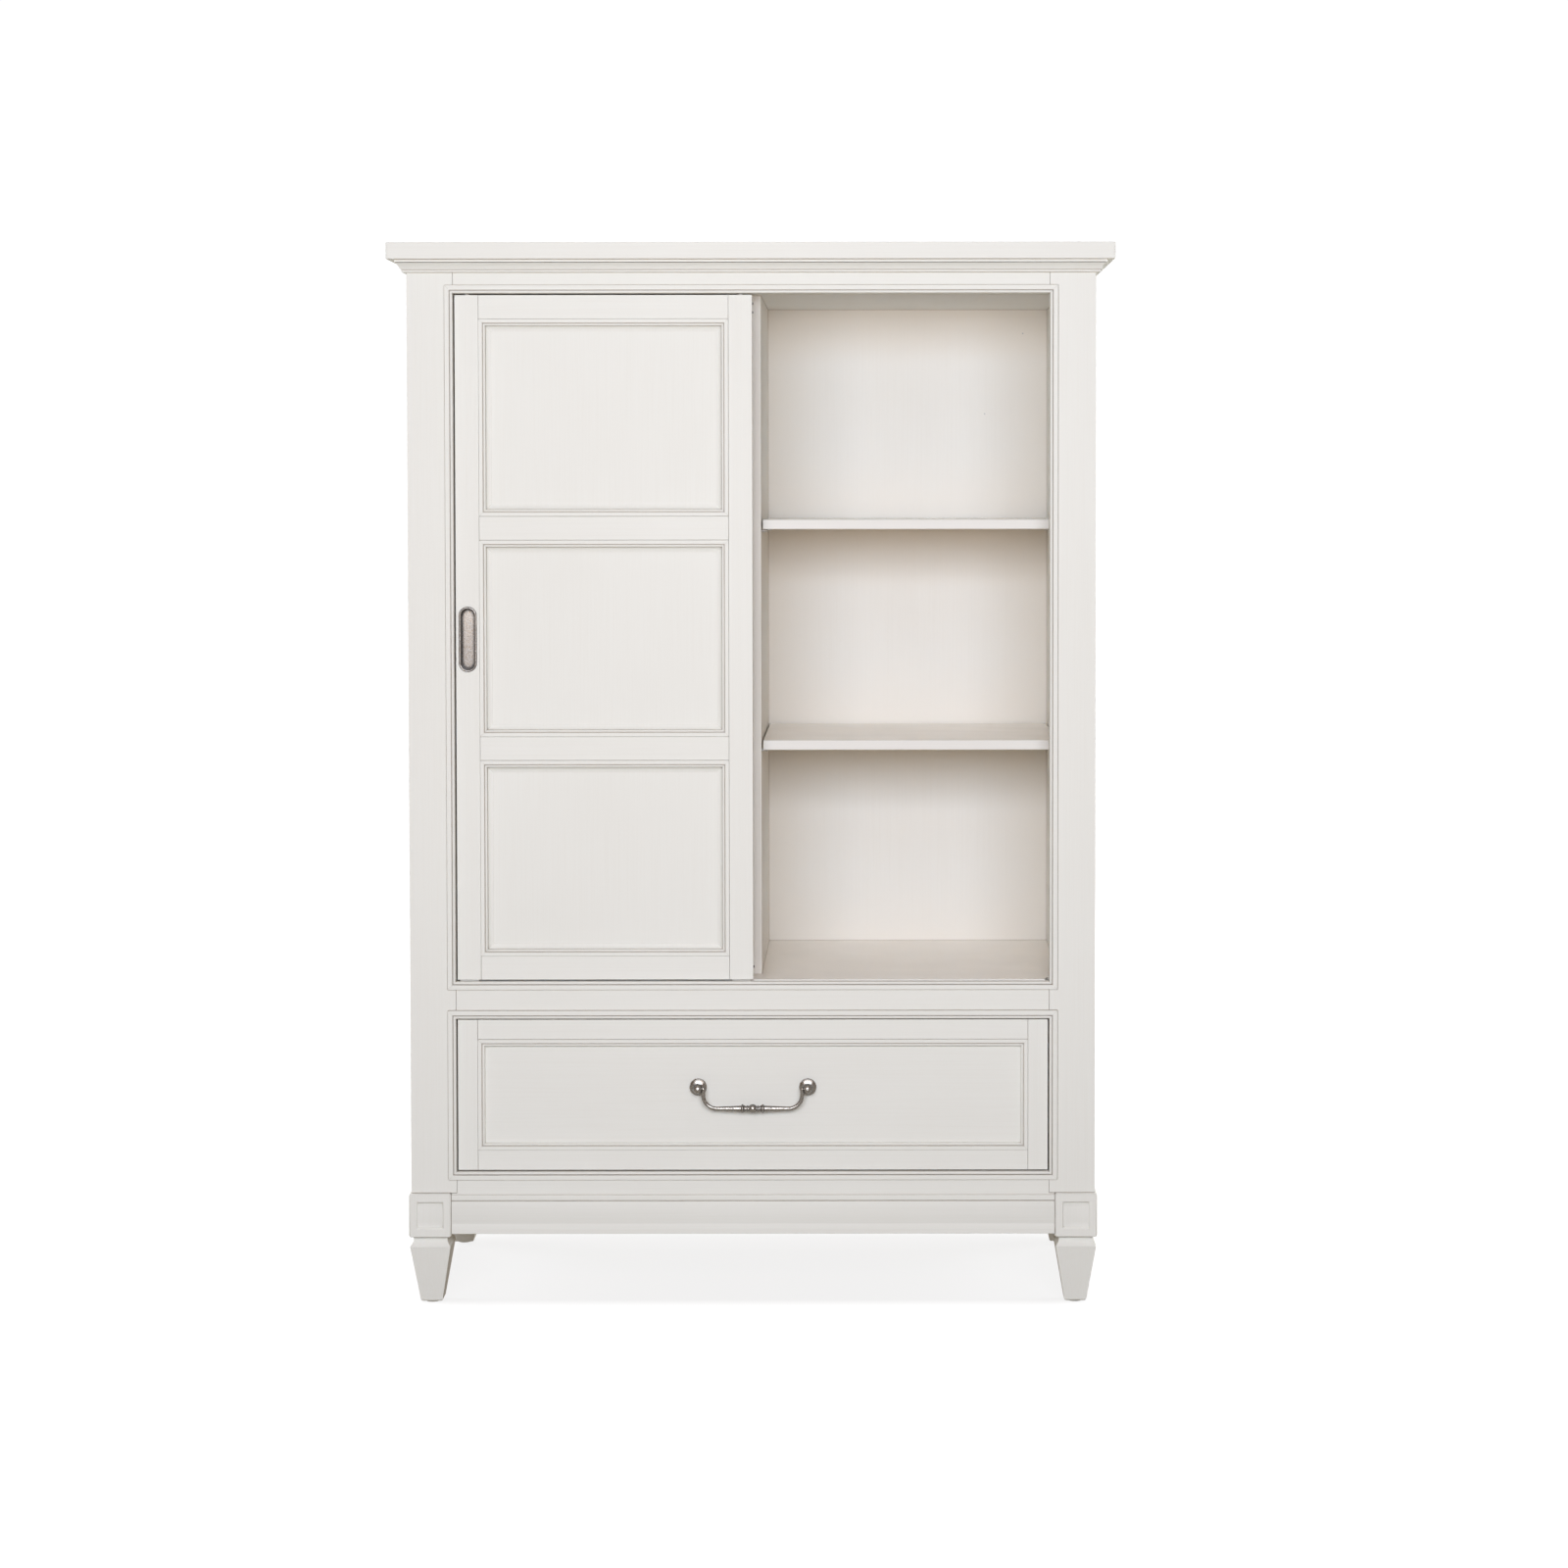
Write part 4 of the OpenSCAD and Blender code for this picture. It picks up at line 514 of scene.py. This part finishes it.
def satin_paint(
    name, axis, settings, paint, gloss, own_only=False, lacquer_and_painted_light=False, corner_shade_reach=0.0
):
    """Warm white satin paint over wood whose grain runs along one axis: fine streaks, slow
    clouds of tint, painted shade in quirks and joints, a faint grain relief and a soft
    orange-peel from the spray gun. A moving piece also gets painted shade on its edges in a gap.
    Inside corners can get a warmer painted shade, and shelves painted light on top and painted
    shade below."""
    material, tree, shader = new_material(name)
    streaks = stretched_noise(tree, along(axis, *STREAK_SCALE), detail=5.0, roughness=0.62)
    pores = stretched_noise(tree, along(axis, *PORE_SCALE), detail=2.0)
    clouds = stretched_noise(tree, CLOUD_SCALE, distortion=0.4)
    peel = stretched_noise(tree, PEEL_SCALE, detail=1.0)
    streak_share = maths(tree, "MULTIPLY", remap(tree, streaks, *STREAK_LEVELS), settings.streaks)
    cloud_share = remap(tree, clouds, *CLOUD_LEVELS, 0.0, CLOUD_SHARE)
    pore_share = remap(tree, pores, *PORE_LEVELS, 0.0, PORE_SHARE)
    share = maths(tree, "ADD", maths(tree, "ADD", streak_share, cloud_share), pore_share)
    colour = blend_colours(tree, share, paint, tinted(paint, settings.glaze))
    # Painted shade: inside corners turn warmer and darker, where less light reaches.
    if corner_shade_reach:
        corners = painted_crevice_shade(tree, corner_shade_reach, own_only, CORNER_OPENNESS)
        colour = blend_colours(tree, corners, colour, tinted(paint, settings.corner_shade_tint))
    # Painted shade: the paint darkens to a brown in quirks and joints, and on a moving piece's
    # edges in a gap.
    hollows = painted_crevice_shade(tree, settings.crevice_shade_reach, own_only)
    if own_only:
        hollows = maths(tree, "MAXIMUM", hollows, painted_gap_shade(tree, settings))
    settled = maths(tree, "MULTIPLY", hollows, settings.crevice_shade_share)
    roughness = uneven(tree, clouds, settings.roughness, PAINT_UNEVEN)
    # Shelves: painted light on their tops, painted shade below them, and smoother lacquer on top.
    if lacquer_and_painted_light:
        colour, roughness = lacquer(tree, settings, colour, roughness)
    colour = blend_colours(tree, settled, colour, settings.crevice_shade_colour)
    tree.links.new(colour, shader.inputs["Base Color"])
    tree.links.new(roughness, shader.inputs["Roughness"])
    shader.inputs["Specular IOR Level"].default_value = gloss
    height = maths(tree, "ADD", streaks, maths(tree, "MULTIPLY", peel, PEEL_SHARE))
    add_relief(tree, shader, height, settings.grain_relief, PAINT_RELIEF)
    return material


def clear_coated_wood(axis, settings):
    """Plain drawer-box wood: long wavy bands of early and late wood, fine pores, thin lacquer."""
    material, tree, shader = new_material(f"Clear-coated wood, grain along {axis}")
    bands = stretched_noise(tree, along(axis, *BAND_SCALE), detail=4.0, distortion=0.5)
    fibres = stretched_noise(tree, along(axis, *FIBRE_SCALE))
    band_share = remap(tree, bands, *BAND_LEVELS, 0.0, BAND_SHARE)
    fibre_share = remap(tree, fibres, *FIBRE_LEVELS, 0.0, FIBRE_SHARE)
    share = maths(tree, "ADD", band_share, fibre_share)
    colour = blend_colours(tree, share, settings.light, settings.dark)
    roughness = uneven(tree, fibres, settings.roughness, WOOD_UNEVEN)
    tree.links.new(colour, shader.inputs["Base Color"])
    tree.links.new(roughness, shader.inputs["Roughness"])
    add_relief(tree, shader, fibres, WOOD_DEPTH, WOOD_RELIEF)
    return material


def antique_nickel(name, settings, kept):
    """Nickel darkened with patina, then rubbed back by hand where it faces front or back. The
    patina, which isn't metal, stays on faces that look sideways, in corners and in cloudy
    patches, and at least the kept share of it stays everywhere. On the sideways faces and in
    the corners the darkening is also painted shade: the dark walls of the cups and the ring of
    shade inside them, and the dark sides of the bail and rosettes."""
    material, tree, shader = new_material(name)
    patches = stretched_noise(tree, PATCH_SCALE, detail=4.0, roughness=0.6)
    scratches = stretched_noise(tree, SCRATCH_SCALE, detail=2.0)
    facing = maths(tree, "ABSOLUTE", looking(tree, "Y"))
    corners = painted_crevice_shade(tree, NICKEL_CORNER_REACH, True, NICKEL_CORNER_OPENNESS)
    cloudy = remap(tree, patches, *PATCH_LEVELS, kept, kept + PATCH_SHARE * (1.0 - kept) ** 2)
    sideways = remap(tree, facing, *RUBBED_FACING, SIDEWAYS_PATINA_AND_SHADE, 0.0)
    share = maths(tree, "MAXIMUM", cloudy, maths(tree, "MAXIMUM", sideways, corners))
    colour = blend_colours(tree, share, settings.nickel, settings.patina)
    colour = blend_colours(tree, corners, colour, settings.deep_patina_and_shade)
    metallic = remap(tree, share, 0.0, 1.0, 1.0, PATINA_METALLIC)
    roughness = maths(
        tree, "ADD",
        uneven(tree, patches, settings.roughness, PATCH_UNEVEN, PATCH_GLOSS_LEVELS),
        uneven(tree, scratches, 0.0, SCRATCH_UNEVEN),
    )
    tree.links.new(colour, shader.inputs["Base Color"])
    tree.links.new(metallic, shader.inputs["Metallic"])
    tree.links.new(roughness, shader.inputs["Roughness"])
    height = maths(tree, "ADD", patches, scratches)
    add_relief(tree, shader, height, NICKEL_DEPTH, NICKEL_RELIEF)
    return material


def zinc_plate(settings):
    """Bright zinc-plated steel, rolled along its length."""
    material, tree, shader = new_material("Zinc-plated steel")
    rolling = stretched_noise(tree, ROLLING_SCALE, detail=2.0)
    spangle = remap(tree, stretched_noise(tree, SPANGLE_SCALE), *SPANGLE_LEVELS)
    dull = tinted(settings.zinc, (SPANGLE_DARKNESS,) * 3)
    colour = blend_colours(tree, spangle, settings.zinc, dull)
    roughness = remap(tree, rolling, *MIDDLE_LEVELS, *ZINC_ROUGHNESS)
    tree.links.new(colour, shader.inputs["Base Color"])
    shader.inputs["Metallic"].default_value = 1.0
    tree.links.new(roughness, shader.inputs["Roughness"])
    add_relief(tree, shader, rolling, ZINC_DEPTH, ZINC_RELIEF)
    return material


def moulded_plastic(name, colour, roughness):
    """Moulded nylon or rubber with a fine spark-eroded skin."""
    material, tree, shader = new_material(name)
    skin = stretched_noise(tree, SKIN_SCALE, detail=2.0)
    tint = remap(tree, stretched_noise(tree, TINT_SCALE, detail=2.0), *TINT_LEVELS)
    clouded = blend_colours(tree, tint, colour, tinted(colour, (TINT_DARKNESS,) * 3))
    tree.links.new(clouded, shader.inputs["Base Color"])
    tree.links.new(uneven(tree, skin, roughness, SKIN_UNEVEN), shader.inputs["Roughness"])
    add_relief(tree, shader, skin, SKIN_DEPTH, SKIN_RELIEF)
    return material


# ------------------------------------------------------------------ surfaces and edges


def dress(names, material):
    """Gives CAD nodes one finish."""
    for name in names:
        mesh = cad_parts[name].data
        mesh.materials.clear()
        mesh.materials.append(material)


def ease_edges(names, radius, segments=2):
    """Rounds the sharp edges of CAD boards: corners within a hundredth of a millimetre are
    joined, flat faces are cleared of their inner edges, and each edge is rolled to the radius."""
    for name in names:
        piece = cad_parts[name]
        weld = piece.modifiers.new("Joined corners", "WELD")
        weld.merge_threshold = JOINED_WITHIN
        flat = piece.modifiers.new("Flat faces", "DECIMATE")
        flat.decimate_type = "DISSOLVE"
        flat.angle_limit = FLAT_WITHIN
        roll = piece.modifiers.new("Rolled edges", "BEVEL")
        roll.width = radius
        roll.segments = segments
        roll.limit_method = "ANGLE"
        roll.angle_limit = SHARP_FROM
        roll.harden_normals = False
        roll.use_clamp_overlap = True


def finish_boards(groups, radius):
    """Gives each group of boards the finish of that name, and eases their edges."""
    for names, finish in groups:
        dress(names, bpy.data.materials[finish])
        ease_edges(names, radius)


def turned_dome(name, centre, radius, rise, rings=6, spokes=20):
    """Low domed head on a wall that faces -Y. With t from 0 at the rim to 1 at the pole and
    turn angle a, a point is centre + radius*cos(t*90deg)*(cos a, 0, sin a), and stands
    rise*sin(t*90deg) in front of the wall; the foot is closed by a flat disc behind it."""
    t = np.linspace(0.0, math.pi / 2, rings + 1)[:-1]
    a = np.linspace(0.0, 2 * math.pi, spokes, endpoint=False)
    tt, aa = np.meshgrid(t, a, indexing="ij")
    shell = np.stack(
        [radius * np.cos(tt) * np.cos(aa), -rise * np.sin(tt), radius * np.cos(tt) * np.sin(aa)], -1
    ).reshape(-1, 3)
    points = np.vstack([shell, [[0.0, -rise, 0.0]], [[0.0, 0.0, 0.0]]]) + np.array(centre)
    i, j = np.meshgrid(np.arange(rings - 1), np.arange(spokes), indexing="ij")
    i, j = i.ravel(), j.ravel()
    k = (j + 1) % spokes
    quads = np.stack(
        [i * spokes + j, i * spokes + k, (i + 1) * spokes + k, (i + 1) * spokes + j], -1
    )
    s = np.arange(spokes)
    n = (s + 1) % spokes
    last = (rings - 1) * spokes
    top, foot = rings * spokes, rings * spokes + 1
    crown = np.stack([last + s, last + n, np.full(spokes, top)], -1)
    disc = np.stack([n, s, np.full(spokes, foot)], -1)
    mesh = bpy.data.meshes.new(name)
    mesh.from_pydata(points.tolist(), [], quads.tolist() + crown.tolist() + disc.tolist())
    mesh.update()
    mesh.shade_smooth()
    piece = bpy.data.objects.new(name, mesh)
    bpy.context.scene.collection.objects.link(piece)
    return piece


# ------------------------------------------------------------------ studio


def soft_light(name, place, target, size, power, colour):
    """Rectangular area light that looks at a target and stays out of the camera's sight."""
    data = bpy.data.lights.new(name, "AREA")
    data.shape = "RECTANGLE"
    data.size, data.size_y = size
    data.energy = power
    data.color = colour
    lamp = bpy.data.objects.new(name, data)
    lamp.location = place
    direction = Vector(target) - Vector(place)
    lamp.rotation_euler = direction.to_track_quat("-Z", "Y").to_euler()
    lamp.visible_camera = False
    bpy.context.scene.collection.objects.link(lamp)


def floor_sheet(name, height, grey):
    """Large flat square of one grey; returns it, its node tree and the inputs of its glow."""
    near, far = -FLOOR_HALF, FLOOR_HALF
    mesh = bpy.data.meshes.new(name)
    mesh.from_pydata(
        [(near, near, height), (far, near, height), (far, far, height), (near, far, height)],
        [], [(0, 1, 2, 3)],
    )
    sheet = bpy.data.objects.new(name, mesh)
    bpy.context.scene.collection.objects.link(sheet)
    material = bpy.data.materials.new(name)
    material.use_nodes = True
    tree = material.node_tree
    tree.nodes.clear()
    diffuse = tree.nodes.new("ShaderNodeBsdfDiffuse")
    diffuse.inputs["Color"].default_value = (grey, grey, grey, 1.0)
    glow = tree.nodes.new("ShaderNodeEmission")
    both = tree.nodes.new("ShaderNodeAddShader")
    output = tree.nodes.new("ShaderNodeOutputMaterial")
    tree.links.new(diffuse.outputs[0], both.inputs[0])
    tree.links.new(glow.outputs[0], both.inputs[1])
    tree.links.new(both.outputs[0], output.inputs["Surface"])
    sheet.data.materials.append(material)
    return sheet, tree, glow.inputs


def distance_from_feet(tree, inset):
    """How far a place on the floor lies outside the feet's footprint, which is drawn in by an
    inset at its front and sides and out by it at its back: the length of the part of
    (|x - middle|, |y - middle|) that is beyond half the footprint's width and depth."""
    (x0, y0, _), (x1, y1, _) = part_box("feet")
    y1 += 2 * inset
    place = tree.nodes.new("ShaderNodeTexCoord")
    parts = tree.nodes.new("ShaderNodeSeparateXYZ")
    tree.links.new(place.outputs["Object"], parts.inputs["Vector"])
    squares = []
    for axis, low, high in (("X", x0, x1), ("Y", y0, y1)):
        offset = maths(tree, "SUBTRACT", parts.outputs[axis], (low + high) / 2)
        away = maths(tree, "ABSOLUTE", offset)
        beyond = maths(tree, "SUBTRACT", away, (high - low) / 2 - inset)
        squares.append(maths(tree, "POWER", maths(tree, "MAXIMUM", beyond, 0.0), 2.0))
    return maths(tree, "SQRT", maths(tree, "ADD", *squares))


def studio_floor(settings):
    """White sheet that is seen but throws no light, over a greyer one that is felt but not seen,
    so that the shadow under the case stays pale and the underside stays dark. The seen sheet's
    glow is dimmed near the feet: a painted pale shadow, over the real shadow on its grey."""
    seen, tree, glow = floor_sheet("studio_floor", 0.0, SEEN_FLOOR_GREY)
    # Painted shadow: the glow is dimmed under and around the feet.
    beyond = distance_from_feet(tree, settings.shadow_reach / 2)
    fade = remap(tree, beyond, 0.0, settings.shadow_reach, settings.painted_shadow_glow, SURE_WHITE)
    tree.links.new(fade, glow["Strength"])
    seen.visible_diffuse = seen.visible_glossy = False
    felt, _, glow = floor_sheet("studio_floor_bounce", FELT_FLOOR_HEIGHT, FELT_FLOOR_GREY)
    glow["Color"].default_value = (*BOUNCE_TINT, 1.0)
    glow["Strength"].default_value = settings.bounce
    felt.visible_camera = False


def white_room(strength):
    """World that looks pure white, and lights the object with a softer, warmer white."""
    world = bpy.data.worlds.new("White room")
    bpy.context.scene.world = world
    world.use_nodes = True
    tree = world.node_tree
    tree.nodes.clear()
    path = tree.nodes.new("ShaderNodeLightPath")
    choose = tree.nodes.new("ShaderNodeMixShader")
    output = tree.nodes.new("ShaderNodeOutputWorld")
    tree.links.new(path.outputs["Is Camera Ray"], choose.inputs["Fac"])
    for slot, tint, brightness in ((1, ROOM_TINT, strength), (2, WHITE, SURE_WHITE)):
        light = tree.nodes.new("ShaderNodeBackground")
        light.inputs["Color"].default_value = (*tint, 1.0)
        light.inputs["Strength"].default_value = brightness
        tree.links.new(light.outputs[0], choose.inputs[slot])
    tree.links.new(choose.outputs[0], output.inputs["Surface"])


def studio_camera(settings):
    """Camera in front, tilted down a little, with its picture shifted and depth of field off."""
    data = bpy.data.cameras.new("Camera")
    data.lens = settings.lens
    data.sensor_width = SENSOR_WIDTH
    data.shift_x, data.shift_y = settings.shift_x, settings.shift_y
    data.dof.use_dof = False
    camera = bpy.data.objects.new("Camera", data)
    camera.matrix_world = (
        Matrix.Translation(settings.eye)
        @ Matrix.Rotation(math.pi / 2 - settings.tilt_down, 4, "X")
        @ Matrix.Rotation(settings.roll, 4, "Z")
    )
    bpy.context.scene.collection.objects.link(camera)
    bpy.context.scene.camera = camera


# ------------------------------------------------------------------ operators


class ARMOIRE_OT_stage(bpy.types.Operator):
    """Sets the white floor, the soft lights and the camera"""

    bl_idname = "armoire.stage"
    bl_label = "Set the stage"

    def execute(self, context):
        studio = context.scene.armoire_studio
        context.scene.view_settings.view_transform = "Standard"
        white_room(studio.room)
        studio_floor(studio)
        for name, place, target, size, power, colour in SOFT_LIGHTS:
            soft_light(name, place, target, size, getattr(studio, power), colour)
        studio_camera(studio)
        return {"FINISHED"}


class ARMOIRE_OT_finishes(bpy.types.Operator):
    """Mixes the paints and clear-coated woods that the boards share"""

    bl_idname = "armoire.finishes"
    bl_label = "Mix the finishes"

    def execute(self, context):
        paint = context.scene.armoire_paint
        for axis in "XYZ":
            satin_paint(
                f"Satin paint, grain along {axis}", axis, paint, paint.colour, PAINT_GLOSS
            )
        for axis in "XZ":
            satin_paint(
                f"Door paint, grain along {axis}", axis, paint, paint.colour, PAINT_GLOSS,
                own_only=True,
            )
        for axis, corner_shade_reach in (("X", 0.0), ("Z", paint.corner_shade_reach)):
            satin_paint(
                f"Inside paint, grain along {axis}", axis, paint, paint.inside_colour_with_painted_bounce,
                INSIDE_GLOSS, corner_shade_reach=corner_shade_reach,
            )
        satin_paint("Shelf lacquer", "X", paint, paint.shelf_edge, LACQUER_GLOSS, lacquer_and_painted_light=True)
        for axis in "XY":
            clear_coated_wood(axis, context.scene.armoire_wood)
        return {"FINISHED"}


class ARMOIRE_OT_case(bpy.types.Operator):
    """Paints the fixed case, its shelves and mouldings, and eases their edges"""

    bl_idname = "armoire.case"
    bl_label = "Paint the case"

    def execute(self, context):
        groups = [
            (UPRIGHT_CASE, "Satin paint, grain along Z"),
            (CROSSWISE_CASE, "Satin paint, grain along X"),
            (FORE_AFT_CASE, "Satin paint, grain along Y"),
            (UPRIGHT_INSIDE, "Inside paint, grain along Z"),
            (CROSSWISE_INSIDE, "Inside paint, grain along X"),
            (SHELVES, "Shelf lacquer"),
        ]
        finish_boards(groups, context.scene.armoire_paint.edge_radius)
        return {"FINISHED"}


class ARMOIRE_OT_doors(bpy.types.Operator):
    """Paints both sliding doors and eases the edges of their stiles, rails and panels"""

    bl_idname = "armoire.doors"
    bl_label = "Paint the doors"

    def execute(self, context):
        groups = [
            (UPRIGHT_DOORS, "Door paint, grain along Z"),
            (CROSSWISE_DOORS, "Door paint, grain along X"),
        ]
        finish_boards(groups, context.scene.armoire_paint.edge_radius)
        return {"FINISHED"}


class ARMOIRE_OT_drawer(bpy.types.Operator):
    """Paints the drawer's front, leaves its box in clear-coated wood, and eases their edges"""

    bl_idname = "armoire.drawer"
    bl_label = "Finish the drawer"

    def execute(self, context):
        groups = [
            (UPRIGHT_DRAWER, "Door paint, grain along Z"),
            (CROSSWISE_DRAWER, "Door paint, grain along X"),
            (RAW_CROSSWISE, "Clear-coated wood, grain along X"),
            (RAW_FORE_AFT, "Clear-coated wood, grain along Y"),
        ]
        finish_boards(groups, context.scene.armoire_paint.edge_radius)
        return {"FINISHED"}


class ARMOIRE_OT_metal(bpy.types.Operator):
    """Finishes the flush pulls, the bail and its posts in antique nickel, and the slides in zinc"""

    bl_idname = "armoire.metal"
    bl_label = "Finish the metal"

    def execute(self, context):
        metal = context.scene.armoire_metal
        dress(FLUSH_PULLS, antique_nickel("Antique nickel in the cups", metal, metal.cup_patina))
        dress(BAIL_PARTS, antique_nickel("Antique nickel", metal, 0.0))
        dress(STEEL_PARTS, zinc_plate(metal))
        return {"FINISHED"}


class ARMOIRE_OT_small_parts(bpy.types.Operator):
    """Finishes the nylon glides and guides and the rubber bumpers"""

    bl_idname = "armoire.small_parts"
    bl_label = "Finish the small parts"

    def execute(self, context):
        small = context.scene.armoire_small
        dress(NYLON_PARTS, moulded_plastic("Nylon", small.nylon, NYLON_ROUGHNESS))
        dress(RUBBER_PARTS, moulded_plastic("Rubber", small.rubber, RUBBER_ROUGHNESS))
        return {"FINISHED"}


class ARMOIRE_OT_back_brads(bpy.types.Operator):
    """Sets two brad heads in the back panel of the upper right compartment"""

    bl_idname = "armoire.back_brads"
    bl_label = "Set the brads"

    def execute(self, context):
        small = context.scene.armoire_small
        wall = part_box("back_panel")[0].y
        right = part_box("side_linings")[1].x
        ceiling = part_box("ceiling_panel")[0].z
        steel = bpy.data.materials["Zinc-plated steel"]
        for n, (in_from_side, below) in enumerate(BRAD_PLACES):
            head = turned_dome(
                f"back_brad_{n + 1}", (right - in_from_side, wall, ceiling - below),
                small.nail_head, BRAD_RISE * small.nail_head,
            )
            head.data.materials.append(steel)
            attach(head, "cabinet")
        return {"FINISHED"}


# ------------------------------------------------------------------ panel and registration

SETTINGS = {
    "armoire_paint": PaintSettings,
    "armoire_wood": WoodSettings,
    "armoire_metal": MetalSettings,
    "armoire_small": SmallPartSettings,
    "armoire_studio": StudioSettings,
}
OPERATORS = [
    ARMOIRE_OT_stage,
    ARMOIRE_OT_finishes,
    ARMOIRE_OT_case,
    ARMOIRE_OT_doors,
    ARMOIRE_OT_drawer,
    ARMOIRE_OT_metal,
    ARMOIRE_OT_small_parts,
    ARMOIRE_OT_back_brads,
]


class ARMOIRE_PT_panel(bpy.types.Panel):
    """Lists the settings and steps in the 3D view's sidebar"""

    bl_idname = "ARMOIRE_PT_panel"
    bl_label = "Armoire"
    bl_space_type = "VIEW_3D"
    bl_region_type = "UI"
    bl_category = "Armoire"

    def draw(self, context):
        for settings in SETTINGS:
            box = self.layout.box()
            group = getattr(context.scene, settings)
            for prop in group.bl_rna.properties:
                if prop.identifier not in {"rna_type", "name"}:
                    box.prop(group, prop.identifier)
        for operator in OPERATORS:
            self.layout.operator(operator.bl_idname)


def register():
    """Adds the settings, the operators and the panel to Blender."""
    for name, group in SETTINGS.items():
        bpy.utils.register_class(group)
        setattr(bpy.types.Scene, name, bpy.props.PointerProperty(type=group))
    for item in OPERATORS + [ARMOIRE_PT_panel]:
        bpy.utils.register_class(item)


def unregister():
    """Takes them out again."""
    for item in reversed(OPERATORS + [ARMOIRE_PT_panel]):
        bpy.utils.unregister_class(item)
    for name, group in reversed(SETTINGS.items()):
        delattr(bpy.types.Scene, name)
        bpy.utils.unregister_class(group)


def main():
    """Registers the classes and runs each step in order."""
    register()
    for operator in OPERATORS:
        group, step = operator.bl_idname.split(".")
        getattr(getattr(bpy.ops, group), step)()


if __name__ == "__main__":
    main()
